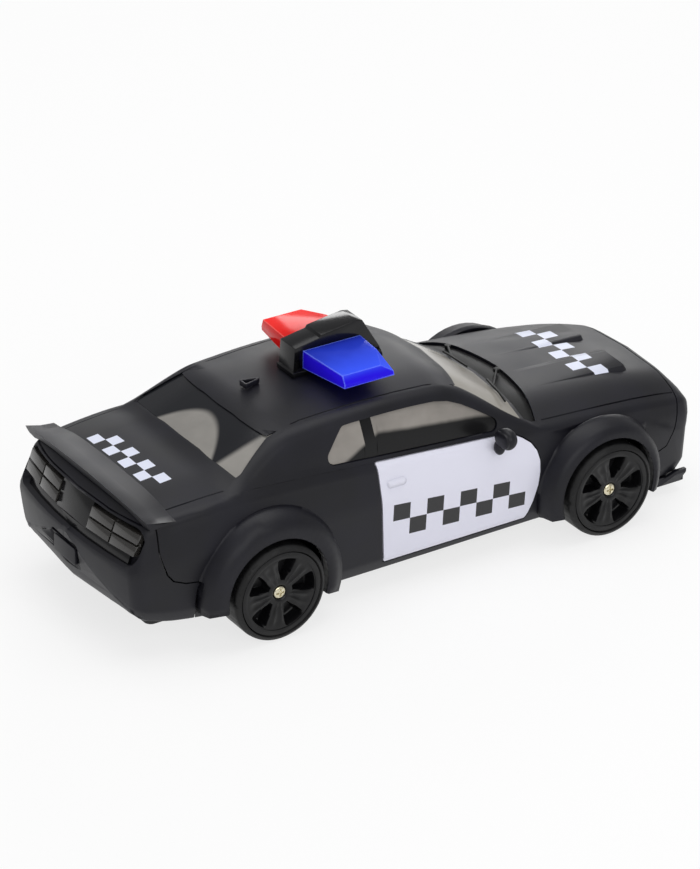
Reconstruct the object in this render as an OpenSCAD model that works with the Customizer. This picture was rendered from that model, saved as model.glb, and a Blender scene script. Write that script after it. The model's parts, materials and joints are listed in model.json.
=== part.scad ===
// Toy police car with radio control, from moulded, turned and pressed pieces
// Nose along +X, left side along +Y, up along +Z, ground at Z zero
// Lengths are in millimetres.

/* [Body] */
// Length over the bumpers
car_l = 280; // [250:1:310]
// Width over the doors
body_w = 98; // [92:0.5:104]
// Height of the roof above the ground
roof_z = 82; // [78:0.5:88]
// Wall of the moulded shell
wall = 2.4; // [1.8:0.1:3]
// Gap between fixed panels
panel_gap = 0.6; // [0.3:0.1:1]
// Width of the moulded panel lines
groove_w = 0.9; // [0.5:0.1:1.4]
// How far the nose bulges ahead of its corners
nose_bow = 3.5; // [2:0.5:8]
// How far the tail bulges behind its corners
tail_bow = 5.5; // [2:0.5:8]
// Thickness of the door panels
door_t = 1.4; // [0.8:0.1:1.6]
// Thickness of the window panes
glass_t = 1.2; // [0.8:0.1:1.6]
// How deep the panes sit below the body surface
glass_inset = 0.7; // [0.3:0.1:1.2]
// Height of the boot lip above the boot lid
lip_h = 2.6; // [1:0.1:4]
// Chord of the boot lip
lip_l = 13; // [8:0.5:18]

/* [Wheels] */
// Distance between the axles
wheelbase = 160; // [150:1:170]
// Middle of the wheelbase ahead of the middle of the car
axle_mid_x = 4; // [-4:0.5:6]
// Width over the wheels
track_w = 119; // [112:0.5:124]
// Diameter of the tyres
tyre_d = 41.4; // [38:0.2:44]
// Width of the tyres
tyre_w = 17; // [14:0.5:19]
// Diameter of the rims
rim_d = 36.2; // [32:0.2:38]
// Diameter of the axles
axle_d = 4; // [3:0.1:5]
// Diameter of the wheel screw heads
screw_head_d = 5.4; // [4.6:0.1:6.4]
// Diameter of the screw shanks
screw_d = 2; // [1.6:0.1:2.4]
// Opening of the wheel arches
arch_d = 46; // [44:0.5:50]
// Opening of the wheel wells behind the arch lip
well_d = 53; // [51:0.5:56]
// Width over the wheel arch flares
flare_w = 116; // [108:0.5:122]
// Width of the front flare band
front_band = 6; // [4:0.5:8]
// Width of the rear flare band
rear_band = 9.5; // [6:0.5:11]

/* [Light bar] */
// Length of the bridge, front to back
bridge_l = 43; // [36:0.5:50]
// Width of the bridge
bridge_w = 11; // [8:0.5:14]
// Height of the bridge above the roof
bridge_h = 18; // [15:0.5:21]
// Reach of one lens from the bridge
lens_reach = 25; // [18:0.5:28]
// Length of a lens at the bridge
lens_l = 27; // [22:0.5:29]
// Height of a lens at the bridge
lens_h = 7.6; // [6:0.2:9]
// Wall of the lenses
lens_t = 1.2; // [0.8:0.1:1.6]

/* [Chassis] */
// Height of the floor underside above the ground
floor_z = 8; // [7:0.2:10]
// Thickness of the floor
floor_t = 2.4; // [2:0.1:3.2]
// Length of the battery pack
pack_l = 52; // [44:0.5:56]
// Width of the battery pack
pack_w = 30; // [24:0.5:36]
// Height of the battery pack
pack_h = 16; // [12:0.5:20]
// Thickness of the battery cover
cover_t = 1.3; // [1:0.1:1.6]
// Length of the circuit board
board_l = 28; // [20:0.5:32]
// Width of the circuit board
board_w = 34; // [24:0.5:40]
// Thickness of the circuit boards
board_t = 1.6; // [1:0.1:2]
// Travel of the power switch
switch_travel = 4; // [2:0.2:5]

/* [Drive] */
// Module of the gears
gear_m = 0.5; // [0.45:0.01:0.55]
// Width of each gear
gear_w = 4; // [3:0.1:5]
// Diameter of the drive motor
motor_d = 20; // [17:0.1:21]
// Length of the drive motor
motor_l = 25; // [20:0.5:30]
// Diameter of the motor shaft and the idler pin
pin_d = 2; // [1.6:0.1:2.4]
// Wall of the gear case
case_t = 1.6; // [1.2:0.1:2.2]

/* [Steering] */
// Kingpin inside the wheel middle plane
kingpin_in = 7; // [6:0.2:9]
// Diameter of the kingpins
kingpin_d = 2.6; // [2:0.1:3.2]
// Length of the steering arms
arm_l = 10; // [8:0.2:11]
// Thickness of the arms and of the tie rod
arm_t = 2.4; // [1.8:0.1:3]
// Length of the steering servo
servo_l = 24; // [20:0.5:28]
// Width of the steering servo
servo_w = 13; // [10:0.5:16]

/* [Hidden] */
over = 1;
fit = 0.1;
run_fit = 0.05;
clear = 0.3;
hl = car_l / 2;
hw = body_w / 2;
axle_z = tyre_d / 2;
arch_r = arch_d / 2;
rim_r = rim_d / 2;
x_front = axle_mid_x + wheelbase / 2;
x_rear = axle_mid_x - wheelbase / 2;
tail_x = -(hl - tail_bow);
nose_x = hl - nose_bow;

// Colours
black = [0.12, 0.12, 0.13];
jet = [0.06, 0.06, 0.07];
clear_plastic = [0.85, 0.87, 0.9];
smoke = [0.62, 0.6, 0.58];
dark_glass = [0.12, 0.13, 0.14];
white = [0.93, 0.94, 0.97];
gilt = [0.82, 0.76, 0.58];
steel = [0.7, 0.7, 0.72];
nylon = [0.9, 0.9, 0.86];
brass = [0.78, 0.62, 0.3];
board_green = [0.1, 0.36, 0.16];
grey = [0.22, 0.22, 0.24];

// Body lines along the car, rows of place and size as shares
deck_z_shares = [[-1, 0.715], [-0.909, 0.757], [-0.777, 0.782], [-0.635, 0.799], [-0.422, 0.79], [-0.168,
  0.756],
  [0.156, 0.724], [0.45, 0.71], [0.663, 0.69], [0.805, 0.666], [0.937, 0.612], [1.029, 0.55]];
shoulder_z_shares = [[-1, 0.68], [-0.909, 0.713], [-0.777, 0.732], [-0.635, 0.74], [-0.422, 0.728],
  [-0.168, 0.697],
  [0.156, 0.654], [0.45, 0.617], [0.663, 0.587], [0.805, 0.557], [0.937, 0.514], [1.029, 0.476]];
shoulder_y_shares = [[-1, 0.85], [-0.909, 0.9], [-0.777, 0.93], [-0.635, 0.948], [-0.422, 0.95], [-0.168,
  0.95],
  [0.156, 0.95], [0.45, 0.94], [0.663, 0.918], [0.805, 0.888], [0.937, 0.832], [1.029, 0.755]];
side_y_shares = [[-1, 0.915], [-0.909, 0.968], [-0.777, 1], [-0.635, 1.012], [-0.422, 1.01], [-0.168, 1],
  [0.156, 1], [0.45, 0.998], [0.663, 0.985], [0.805, 0.958], [0.937, 0.9], [1.029, 0.815]];
side_z_shares = [[-1, 0.488], [-0.635, 0.512], [0.014, 0.49], [0.45, 0.463], [1.029, 0.4]];
bottom_z_shares = [[-1, 0.222], [-0.848, 0.168], [-0.422, 0.11], [0.45, 0.11], [0.876, 0.098], [1.029,
  0.098]];
roof_z_shares = [[-0.691, 0.738], [-0.633, 0.795], [-0.59, 0.835], [-0.475, 0.941], [-0.418, 0.974],
  [-0.165, 1],
  [0.072, 0.976], [0.129, 0.949], [0.187, 0.893], [0.273, 0.8], [0.359, 0.707], [0.431, 0.63]];
rail_z_shares = [[-0.691, 0.707], [-0.633, 0.762], [-0.59, 0.799], [-0.475, 0.902], [-0.418, 0.935],
  [-0.165, 0.955],
  [0.072, 0.933], [0.129, 0.902], [0.187, 0.848], [0.273, 0.756], [0.359, 0.667], [0.431, 0.591]];
rail_y_shares = [[-0.691, 0.898], [-0.633, 0.863], [-0.59, 0.837], [-0.475, 0.771], [-0.418, 0.755],
  [-0.165, 0.767],
  [0.072, 0.751], [0.129, 0.759], [0.187, 0.788], [0.273, 0.857], [0.359, 0.918], [0.431, 0.939]];
tail_lean_shares = [[0, 1.3], [0.146, 1], [0.244, 0.38], [0.366, 0.06], [0.476, 0], [0.512, 0.12], [0.67,
  0.7],
  [0.756, 1], [1, 1.4]];
nose_lean_shares = [[0, 1.2], [0.085, 1], [0.146, 0.5], [0.244, 0.1], [0.341, 0.3], [0.463, 0], [0.512,
  0.16],
  [0.56, 0.6], [1, 2]];
bottom_y_share = 0.93;
sill_y_share = 0.975;
deck_mid_share = 0.66;
deck_crown_share = 0.84;
roof_mid_share = 0.55;
roof_crown_share = 0.76;
warp_from_share = 0.71;
tail_lean = 8;
nose_lean = 5;
sill_h = 6;
bottom_r = 2;
sill_r = 6;
side_r = 30;
shoulder_r = 5;
deck_r = 80;
rail_r = 8;
roof_r = 90;
end_r = 4;
cabin_sink = 2;
screen_bow = 5;
back_bow = 3;

// Smooth curve through a table of places and values
function row_at(t, u, i = 0) = (i >= len(t) - 2 || u < t[i + 1][0]) ? i : row_at(t, u, i + 1);
function chord(t, i, j) = (t[j][1] - t[i][1]) / (t[j][0] - t[i][0]);
function lean_of(t, i) = chord(t, max(0, i - 1), min(len(t) - 1, i + 1));
function curve(t, u) =
  let (i = row_at(t, u), h = t[i + 1][0] - t[i][0], s = (u - t[i][0]) / h, q = 1 - s)
  (1 + 2 * s) * q * q * t[i][1] + s * q * q * h * lean_of(t, i)
  + s * s * (3 - 2 * s) * t[i + 1][1] - s * s * q * h * lean_of(t, i + 1);

// Rounded corner of an open outline as a run of points
function unit(v) = v / norm(v);
function fillet(a, b, c, r, n) =
  let (u = unit(a - b), v = unit(c - b), half = acos(max(-1, min(1, u * v))) / 2,
    t = min(r / tan(half), 0.48 * norm(a - b), 0.48 * norm(c - b)),
    p = b + u * t, q = b + v * t, o = b + unit(u + v) * (t / cos(half)), turn = 180 - 2 * half)
  turn < 1 ? [for (i = [0:n]) p + (q - p) * i / n]
  : [for (i = [0:n]) o + (sin(turn * (n - i) / n) * (p - o) + sin(turn * i / n) * (q - o)) / sin(turn)];
function rounded(p, r, n) =
  concat([p[0]], [for (i = [1:len(p) - 2]) each fillet(p[i - 1], p[i], p[i + 1], r[i - 1], n[i - 1])],
    [p[len(p) - 1]]);
function both(h) = concat(h, [for (i = [len(h) - 2:-1:1]) [-h[i].x, h[i].y]]);
function inset(p, d) = d == 0 ? p :
  [for (i = [0:len(p) - 1]) let (t = unit(p[(i + 1) % len(p)] - p[(i + len(p) - 1) % len(p)])) p[i]
    + d * [-t.y, t.x]];

// Half outlines across the car at a place along it
lower_n = [1, 1, 2, 3, 2];
coarse_n = [1, 1, 1, 2, 1];
cabin_n = [1, 4, 2];
function lower_half(x, n = lower_n) =
  let (u = x / hl, ys = hw * curve(side_y_shares, u), zs = roof_z * curve(side_z_shares, u),
    yh = hw * curve(shoulder_y_shares, u), zh = roof_z * curve(shoulder_z_shares, u),
    zc = roof_z * curve(deck_z_shares, u), zb = roof_z * curve(bottom_z_shares, u))
  rounded([[0, zb], [ys * bottom_y_share, zb], [ys * sill_y_share, zb + sill_h], [ys, zs], [yh, zh],
    [yh * deck_mid_share, zh + (zc - zh) * deck_crown_share], [0, zc]],
    [bottom_r, sill_r, side_r, shoulder_r, deck_r], n);
function belt_z(x) = roof_z * curve(shoulder_z_shares, x / hl);
function belt_y(x) = hw * curve(shoulder_y_shares, x / hl);
function rail_z(x) = roof_z * curve(rail_z_shares, x / hl);
function rail_y(x) = hw * curve(rail_y_shares, x / hl);
function crown_z(x) = roof_z * curve(roof_z_shares, x / hl);
function cabin_half(x, n = cabin_n) =
  let (zf = belt_z(x) - cabin_sink, yf = belt_y(x) - cabin_sink * 0.5, zr = max(rail_z(x), zf
    + cabin_sink * 0.3), yr = rail_y(x),
    zc = max(crown_z(x), zr + cabin_sink * 0.3))
  rounded([[0, zf], [yf, zf], [yr, zr], [yr * roof_mid_share, zr + (zc - zr) * roof_crown_share], [0, zc]],
    [bottom_r, rail_r, roof_r], n);

// Height and half width of an outline
function top_z(h, y, i = 0) =
  let (j = len(h) - 1 - i, a = h[j], b = h[j - 1])
  (b.x >= y || j <= 1) ? a.y + (b.y - a.y) * (y - a.x) / (b.x - a.x) : top_z(h, y, i + 1);
function side_y(h, z, i = 1) =
  (h[i + 1].y >= z || i >= len(h) - 2) ? h[i].x + (h[i + 1].x - h[i].x) * (z - h[i].y) / (h[i
    + 1].y - h[i].y)
  : side_y(h, z, i + 1);

// The ends bulge in plan and lean in side view
warp_from = hl * warp_from_share;
function end_w(x, e) = x < warp_from ? 0 : pow((x - warp_from) / (e - warp_from), 2);
function bow_of(y) = 1 - pow(y / hw, 2);
function warp(p) =
  [p.x - end_w(-p.x, -tail_x) * (tail_bow * bow_of(p.y) - tail_lean * curve(tail_lean_shares, p.z / roof_z))
    + end_w(p.x, nose_x) * (nose_bow * bow_of(p.y) - nose_lean * curve(nose_lean_shares, p.z / roof_z)),
      p.y, p.z];
function ease(t) = let (s = max(0, min(1, t))) s * s * (3 - 2 * s);
screen_from_share = -0.0429;
screen_from = hl * screen_from_share;
screen_to_share = 0.1429;
screen_to = hl * screen_to_share;
back_from_share = -0.3286;
back_from = hl * back_from_share;
back_to_share = -0.4714;
back_to = hl * back_to_share;
function cabin_warp(p) =
  let (b = 1 - pow(p.y / belt_y(p.x), 2))
  [p.x + screen_bow * b * ease((p.x - screen_from) / (screen_to - screen_from))
    - back_bow * b * ease((p.x - back_from) / (back_to - back_from)), p.y, p.z];

// Solid skinned over a row of closed outlines; the ends of a bent sheet are closed as strips
function flat_end(n) = [[for (j = [0:n - 1]) j]];
function strip_end(n) = [for (j = [0:n / 2 - 2]) each [[j, j + 1, n - 2 - j], [j, n - 2 - j, n - 1 - j]]];
module skin(r, strip = false) {
  n = len(r[0]);
  m = len(r);
  e = strip ? strip_end(n) : flat_end(n);
  polyhedron(points = [for (a = r) each a], faces = concat(
    [for (i = [0:m - 2], j = [0:n - 1]) [i * n + j, (i + 1) * n + j, (i + 1) * n + (j + 1) % n]],
    [for (i = [0:m - 2], j = [0:n - 1]) [i * n + j, (i + 1) * n + (j + 1) % n, i * n + (j + 1) % n]],
    e, [for (f = e) [for (k = [len(f) - 1:-1:0]) (m - 1) * n + f[k]]]));
}

// Lower body as one solid
function lower_ring(x, d, k = 1, n = lower_n) =
  let (h = inset(both(lower_half(x, n)), d), zm = (h[0].y + lower_half(x, n)[len(lower_half(x,
    n)) - 1].y) / 2)
  [for (p = h) warp([x, p.x * k, zm + (p.y - zm) * k])];
tail_cap_shares = [0.05, 0.3, 0.55, 0.8];
nose_cap_shares = [0.55, 0.05];
round_steps = [90, 60, 30];
mid_steps = 24;
function lower_rings(d = 0) = concat(
  [for (k = tail_cap_shares) lower_ring(tail_x + d, end_r + d, k)],
  [for (a = round_steps) lower_ring(tail_x + d + end_r * (1 - sin(a)), end_r * (1 - cos(a)) + d)],
  [for (i = [0:mid_steps]) lower_ring(tail_x + d + end_r
    + (nose_x - tail_x - 2 * d - 2 * end_r) * i / mid_steps, d)],
  [for (i = [len(round_steps) - 1:-1:0]) let (a = round_steps[i])
    lower_ring(nose_x - d - end_r * (1 - sin(a)), end_r * (1 - cos(a)) + d)],
  [for (k = nose_cap_shares) lower_ring(nose_x - d, end_r + d, k)]);
module lower_solid(d = 0) skin(lower_rings(d));

// Cabin as one solid, its foot sunk into the lower body
cabin_x0 = hl * roof_z_shares[0][0];
cabin_x1 = hl * roof_z_shares[len(roof_z_shares) - 1][0];
cabin_steps = 20;
function cabin_ring(x, d, n = cabin_n) = [for (p = inset(both(cabin_half(x, n)), d)) cabin_warp([x, p.x,
  p.y])];
module cabin_solid(d = 0, steps = cabin_steps)
  skin([for (i = [0:steps]) cabin_ring(cabin_x0 + (cabin_x1 - cabin_x0) * i / steps, d)]);

// Hollow of the shell, open below
bumper_core = 4.4;
hollow_steps = 10;
hollow_cap_share = 0.35;
function hollow_ring(x, k = 1) =
  let (r = inset(both(lower_half(x, coarse_n)), wall), n = len(r), zl = r[0].y + bottom_r + wall, zm = 2 * zl,
    low = len([for (i = [1:n / 2]) if (r[i].y < zl) i]), yk = r[low + 1].x)
  [for (i = [0:n - 1]) let (a = min(i, n - i), p = a > low ? r[i] : [(2 * i < n ? yk : -yk) * a / low, -over])
    warp([x, p.x * k, zm + (p.y - zm) * k])];
module hollow() {
  x0 = tail_x + bumper_core;
  x1 = nose_x - bumper_core;
  skin(concat([hollow_ring(x0, hollow_cap_share)],
    [for (i = [0:hollow_steps]) hollow_ring(x0 + (x1 - x0) * i / hollow_steps)],
    [hollow_ring(x1, hollow_cap_share)]));
  skin([for (i = [0:hollow_steps]) let (x = cabin_x0 + (cabin_x1 - cabin_x0) * i / hollow_steps)
    [for (p = inset(both(cabin_half(x)), wall))
      cabin_warp([x, p.x, p.y - (p.y < belt_z(x) + wall ? 3 * wall : 0)])]]);
}

// Flare band round a wheel arch, right side
flare_from = -18;
front_sweep = 216;
rear_sweep = 205;
flare_edge = 0.8;
flare_mid_shares = [0.82, 0.33];
module flare(xc, band, sweep) {
  r = arch_r;
  y = flare_w / 2;
  foot = hw - wall;
  translate([xc, 0, axle_z]) rotate([90, 0, 0]) rotate([0, 0, flare_from])
    rotate_extrude(angle = sweep, $fn = 48)
      polygon([[r - over, foot], [r - over, y - flare_edge], [r, y - flare_edge], [r + flare_edge, y],
        [r + band * flare_mid_shares[0], y - (y - hw) * flare_mid_shares[1]],
        [r + band, hw + flare_edge], [r + band + flare_edge, hw - flare_edge], [r + band, foot]]);
}
module right_side()
  mirror([0, 1, 0]) children();
module both_sides() {
  children();
  mirror([0, 1, 0]) children();
}
well_y_share = 0.6;
well_out_share = 0.5556;
module arch_cut(xc)
  translate([xc, 0, axle_z]) rotate([90, 0, 0]) translate([0, 0, hw * well_y_share]) {
    cylinder(d = arch_d, h = flare_w, $fn = 48);
    cylinder(d = well_d, h = hw * (1 - well_y_share) + (flare_w / 2 - hw) * well_out_share, $fn = 36);
  }

// Raised bonnet forms
scoop_w = 13;
scoop_h = 1.5;
scoop_y = 15;
scoop_front_share = 0.815;
scoop_back_share = 0.48;
module bonnet_scoops()
  both_sides() hull() {
    for (s = [-1, 1]) {
      y = scoop_y + s * scoop_w / 2;
      xf = hl * scoop_front_share;
      xb = hl * scoop_back_share;
      translate([xf, y, top_z(lower_half(xf), y) - scoop_h])
        cylinder(r1 = scoop_h * 2, r2 = scoop_h, h = scoop_h * 2, $fn = 16);
      translate([xb, y, top_z(lower_half(xb), y) - 2 * scoop_h])
        cylinder(r1 = scoop_h * 2, r2 = scoop_h, h = scoop_h * 2, $fn = 16);
    }
  }

// Line moulded into the surface, as links between points
module line(p, w = groove_w)
  for (i = [0:len(p) - 2])
    hull() {
      translate(p[i]) sphere(d = w, $fn = 5);
      translate(p[i + 1]) sphere(d = w, $fn = 5);
    }
ditch_in = 5.6;
bonnet_line_share = 0.905;
boot_line_share = 0.87;
ditch_ends_share = [-0.468, 0.15];
bonnet_ends_share = [0.425, 0.932];
boot_ends_share = [-0.655, -0.899];
function between(e, i, n) = hl * (e[0] + (e[1] - e[0]) * i / n);
module panel_lines() {
  both_sides() {
    line([for (i = [0:6]) let (x = between(ditch_ends_share, i, 6), y = rail_y(x) - ditch_in)
      cabin_warp([x, y, top_z(cabin_half(x), y)])]);
    line([for (i = [0:4]) let (x = between(bonnet_ends_share, i, 4), y = belt_y(x) * bonnet_line_share)
      warp([x, y, top_z(lower_half(x), y)])]);
    line([for (i = [0:3]) let (x = between(boot_ends_share, i, 3), y = belt_y(x) * boot_line_share)
      warp([x, y, top_z(lower_half(x), y)])]);
  }
}

// Side outlines of doors and windows, seen from the side as along and up
door_rear_share = -0.1571;
door_front_share = 0.3936;
door_rear_x = hl * door_rear_share;
door_front_x = hl * door_front_share;
door_bottom_z = 12.6;
door_top_rise = 0.67;
door_r = 1.2;
door_rear_lean = 3.5;
door_front_lean = 6;
door_front_shares = [[0, 1.02], [0.19, 0.42], [0.37, 0.08], [0.52, 0], [0.67, 0.05], [0.786, 0.28], [0.883, 0.72],
  [0.957, 1.35]];
door_head_share = 2.15;
module door_outline(d = 0) {
  xf = door_front_x - door_front_lean * door_head_share;
  xr = door_rear_x - door_rear_lean * 0.6;
  h = belt_z(door_front_x) + door_top_rise - door_bottom_z;
  offset(delta = d) offset(r = door_r, $fn = 20) offset(delta = -door_r)
    polygon(concat([[door_rear_x + door_rear_lean * 0.4, door_bottom_z]],
      [for (q = door_front_shares) [door_front_x - door_front_lean * q[1], door_bottom_z + h * q[0]]],
      [for (i = [0:6]) let (x = xf + (xr - xf) * i / 6) [x, belt_z(x) + door_top_rise]]));
}
window_rear_x_share = -0.3429;
window_rear_x = hl * window_rear_x_share;
window_rear_lean = 12;
window_front_x_share = 0.2857;
window_front_x = hl * window_front_x_share;
window_foot = 2.4;
window_head = 3.4;
window_r = 3;
screen_r = 1;
module window_outline(d = 0)
  offset(delta = d) offset(r = window_r, $fn = 20) offset(delta = -window_r) polygon(concat(
    [for (i = [0:8]) let (x = window_rear_x + (window_front_x - window_rear_x) * i / 8) [x, belt_z(x)
      + window_foot]],
    [for (i = [12:-1:0])
      let (x = window_rear_x + window_rear_lean
        + (window_front_x - window_rear_x - window_rear_lean) * i / 12)
      [x, max(belt_z(x) + window_foot + fit, rail_z(x) - window_head)]]));
// Panes across the car, seen from the front as side and up, from the top edge to the foot
screen_x0_share = 0.1464;
screen_x0 = hl * screen_x0_share;
screen_x1_share = 0.364;
screen_x1 = hl * screen_x1_share;
back_x0_share = -0.4679;
back_x0 = hl * back_x0_share;
back_x1_share = -0.6179;
back_x1 = hl * back_x1_share;
pillar_top = 5.4;
pillar_foot = 2.2;
pane_rise = 1;
foot_arch = 2.6;
head_arch = 1.6;
module screen_outline(x0, x1, d = 0) {
  e = [for (i = [0:6]) let (x = x0 + (x1 - x0) * i / 6)
    [rail_y(x) - pillar_top + (pillar_top - pillar_foot) * i / 6, rail_z(x) + pane_rise]];
  f = [for (i = [1:5]) e[6] + [-2 * e[6].x * i / 6, foot_arch * (1 - pow(1 - i / 3, 2))]];
  h = [for (i = [1:5]) [-e[0].x, e[0].y] + [2 * e[0].x * i / 6, head_arch * (1 - pow(1 - i / 3, 2))]];
  offset(delta = d) offset(r = screen_r, $fn = 20) offset(delta = -screen_r)
    polygon(concat(e, f, [for (i = [6:-1:0]) [-e[i].x, e[i].y]], h));
}
module along_y(y0, y1)
  translate([0, -y0, 0]) rotate([90, 0, 0]) linear_extrude(y1 - y0) children();
module along_x(x0, x1)
  translate([x0, 0, 0]) rotate([90, 0, 90]) linear_extrude(x1 - x0) children();
window_y0 = hw * 0.55;
window_y1 = hw * 1.2;
module window_cuts() {
  both_sides() along_y(window_y0, window_y1) window_outline();
  along_x(screen_x0 - screen_bow, screen_x1 + 3 * screen_bow) screen_outline(screen_x0, screen_x1);
  along_x(back_x1 - 3 * back_bow, back_x0 + 2 * back_bow) screen_outline(back_x0, back_x1);
}

// Recess for the cowl between bonnet and windscreen
cowl_depth = 2.6;
cowl_bow = 9;
cowl_back_x_share = 0.3607;
cowl_back_x = hl * cowl_back_x_share;
cowl_front_x_share = 0.4036;
cowl_front_x = hl * cowl_front_x_share;
cowl_y_share = 0.8469;
cowl_y = hw * cowl_y_share;
module cowl_outline(d = 0)
  offset(delta = d) polygon(concat(
    [for (i = [-8:8]) [cowl_back_x + screen_bow * (1 - pow(i / 8, 2)), cowl_y * i / 8]],
    [for (i = [8:-1:-8]) [cowl_front_x + cowl_bow * (1 - pow(i / 8, 2)), cowl_y * i / 8]]));
module cowl_cut()
  difference() {
    linear_extrude(roof_z) cowl_outline();
    skin([for (i = [0:6]) lower_ring(cowl_back_x - over + (cowl_front_x + cowl_bow
      + over * 2 - cowl_back_x) * i / 6, cowl_depth, 1, coarse_n)]);
  }

// Seams of the bumpers in side view, as along and up; the flares stay with the shell
nose_seam_shares = [[0.939, 1], [0.939, 0.545], [0.926, 0.51], [0.917, 0.455], [0.9, 0.368], [0.874, 0.302]];
tail_seam_shares = [[-0.886, 0.573], [-0.878, 0.512], [-0.866, 0.455], [-0.847, 0.412], [-0.808, 0.383],
  [-0.757, 0.37], [-0.729, 0.365]];
nose_seam_top_x = hl * nose_seam_shares[0][0];
tail_seam_top_x = hl * tail_seam_shares[0][0];
tail_top_z = 57.6;
function seam(t) = [for (q = t) [hl * q[0], roof_z * q[1]]];
module nose_region(d = 0)
  along_y(-flare_w, flare_w) offset(delta = d) difference() {
    polygon(concat(seam(nose_seam_shares), [[x_front + arch_r, axle_z], [x_front, axle_z], [x_front, -over],
      [hl + over, -over], [hl + over, roof_z]]));
    translate([x_front, axle_z]) circle(r = arch_r + front_band, $fn = 36);
    translate([x_front, -arch_r]) square([arch_r + front_band * bottom_y_share, arch_r + axle_z]);
  }
module tail_region(d = 0)
  along_y(-flare_w, flare_w) offset(delta = d) difference() {
    polygon(concat([[tail_seam_top_x, tail_top_z]], seam(tail_seam_shares), [[x_rear, axle_z], [x_rear, -over],
      [-hl - over, -over], [-hl - over, tail_top_z]]));
    translate([x_rear, axle_z]) circle(r = arch_r + rear_band, $fn = 36);
    translate([x_rear - arch_r - rear_band * bottom_y_share, -arch_r])
      square([arch_r + rear_band * bottom_y_share, arch_r + axle_z]);
  }

// Whole outer form before it is parted
module outer_form() {
  lower_solid();
  cabin_solid();
  bonnet_scoops();
  both_sides() {
    flare(x_front, front_band, front_sweep);
    flare(x_rear, rear_band, rear_sweep);
  }
}

// Bent sheets that follow the body, between two depths and two rows of the outline
function sheet_ring(o, i, a, b) = concat([for (k = [a:b]) o[k]], [for (k = [b:-1:a]) i[k]]);
lower_side_rows = [1, 11];
deck_rows = [8, 22];
cabin_side_rows = [1, 7];
cabin_top_rows = [5, 17];
module lower_sheet(x0, x1, steps, d0, d1, rows)
  skin([for (i = [0:steps]) let (x = x0 + (x1 - x0) * i / steps)
    sheet_ring(lower_ring(x, d0), lower_ring(x, d1), rows[0], rows[1])], true);
module cabin_sheet(x0, x1, steps, d0, d1, rows)
  skin([for (i = [0:steps]) let (x = x0 + (x1 - x0) * i / steps)
    sheet_ring(cabin_ring(x, d0), cabin_ring(x, d1), rows[0], rows[1])], true);

// Slabs that follow the tail or the nose face, between two depths
function tail_face(y, z) = tail_x - tail_bow * bow_of(y) + tail_lean * curve(tail_lean_shares, z / roof_z);
function nose_face(y, z) = nose_x + nose_bow * bow_of(y) - nose_lean * curve(nose_lean_shares, z / roof_z);
module tail_slab(y0, y1, z0, z1, d0, d1, n = 6, m = 1)
  skin([for (i = [0:n]) let (y = y0 + (y1 - y0) * i / n) concat(
    [for (k = [m:-1:0]) let (z = z0 + (z1 - z0) * k / m) [tail_face(y, z) + d1, y, z]],
    [for (k = [0:m]) let (z = z0 + (z1 - z0) * k / m) [tail_face(y, z) + d0, y, z]])]);
module nose_slab(y0, y1, z0, z1, d0, d1, n = 6, m = 1)
  skin([for (i = [0:n]) let (y = y0 + (y1 - y0) * i / n) concat(
    [for (k = [m:-1:0]) let (z = z0 + (z1 - z0) * k / m) [nose_face(y, z) - d0, y, z]],
    [for (k = [0:m]) let (z = z0 + (z1 - z0) * k / m) [nose_face(y, z) - d1, y, z]])]);
module pill(y, z0, z1, r)
  translate([-y, z0]) offset(r = r, $fn = 32) translate([r, r])
    square([2 * y - 2 * r, z1 - z0 - 2 * r]);

// Shell of the body with its bosses
post_d = 6.4;
post_x_share = 0.8071;
post_x = hl * post_x_share;
post_y_share = 0.3878;
post_y = hw * post_y_share;
screw_l = 10;
pilot_d = screw_d + 2 * run_fit;
floor_top = floor_z + floor_t;
door_seat = door_t + fit;
module posts()
  for (sx = [-1, 1], sy = [-1, 1])
    translate([sx * post_x, sy * post_y, floor_top])
      difference() {
        cylinder(d = post_d, h = top_z(lower_half(sx * post_x), post_y) - wall / 2 - floor_top, $fn = 24);
        translate([0, 0, -over]) cylinder(d = pilot_d, h = screw_l + over, $fn = 16);
      }
module door_recess()
  intersection() {
    lower_sheet(door_rear_x - 3 * over, door_front_x + over, 6, -over, door_seat, lower_side_rows);
    mirror([0, 1, 0]) along_y(0, window_y1) door_outline(panel_gap / 2);
  }
module body_shell()
  color(black) {
    difference() {
      outer_form();
      hollow();
      nose_region(panel_gap / 2);
      tail_region(panel_gap / 2);
      window_cuts();
      cowl_cut();
      both_sides() {
        arch_cut(x_front);
        arch_cut(x_rear);
        door_recess();
      }
      panel_lines();
    }
    posts();
  }

// Tabs of a bumper that lap under the shell
tab_w = 9;
tab_l = 7;
tab_t = 1.6;
tab_y_share = 0.449;
tab_y = hw * tab_y_share;
module tabs(x0, x1)
  both_sides()
    translate([x0, tab_y - tab_w / 2, top_z(lower_half(x1), tab_y + tab_w / 2) - wall - tab_t - clear])
      cube([x1 - x0, tab_w, tab_t]);

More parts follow.
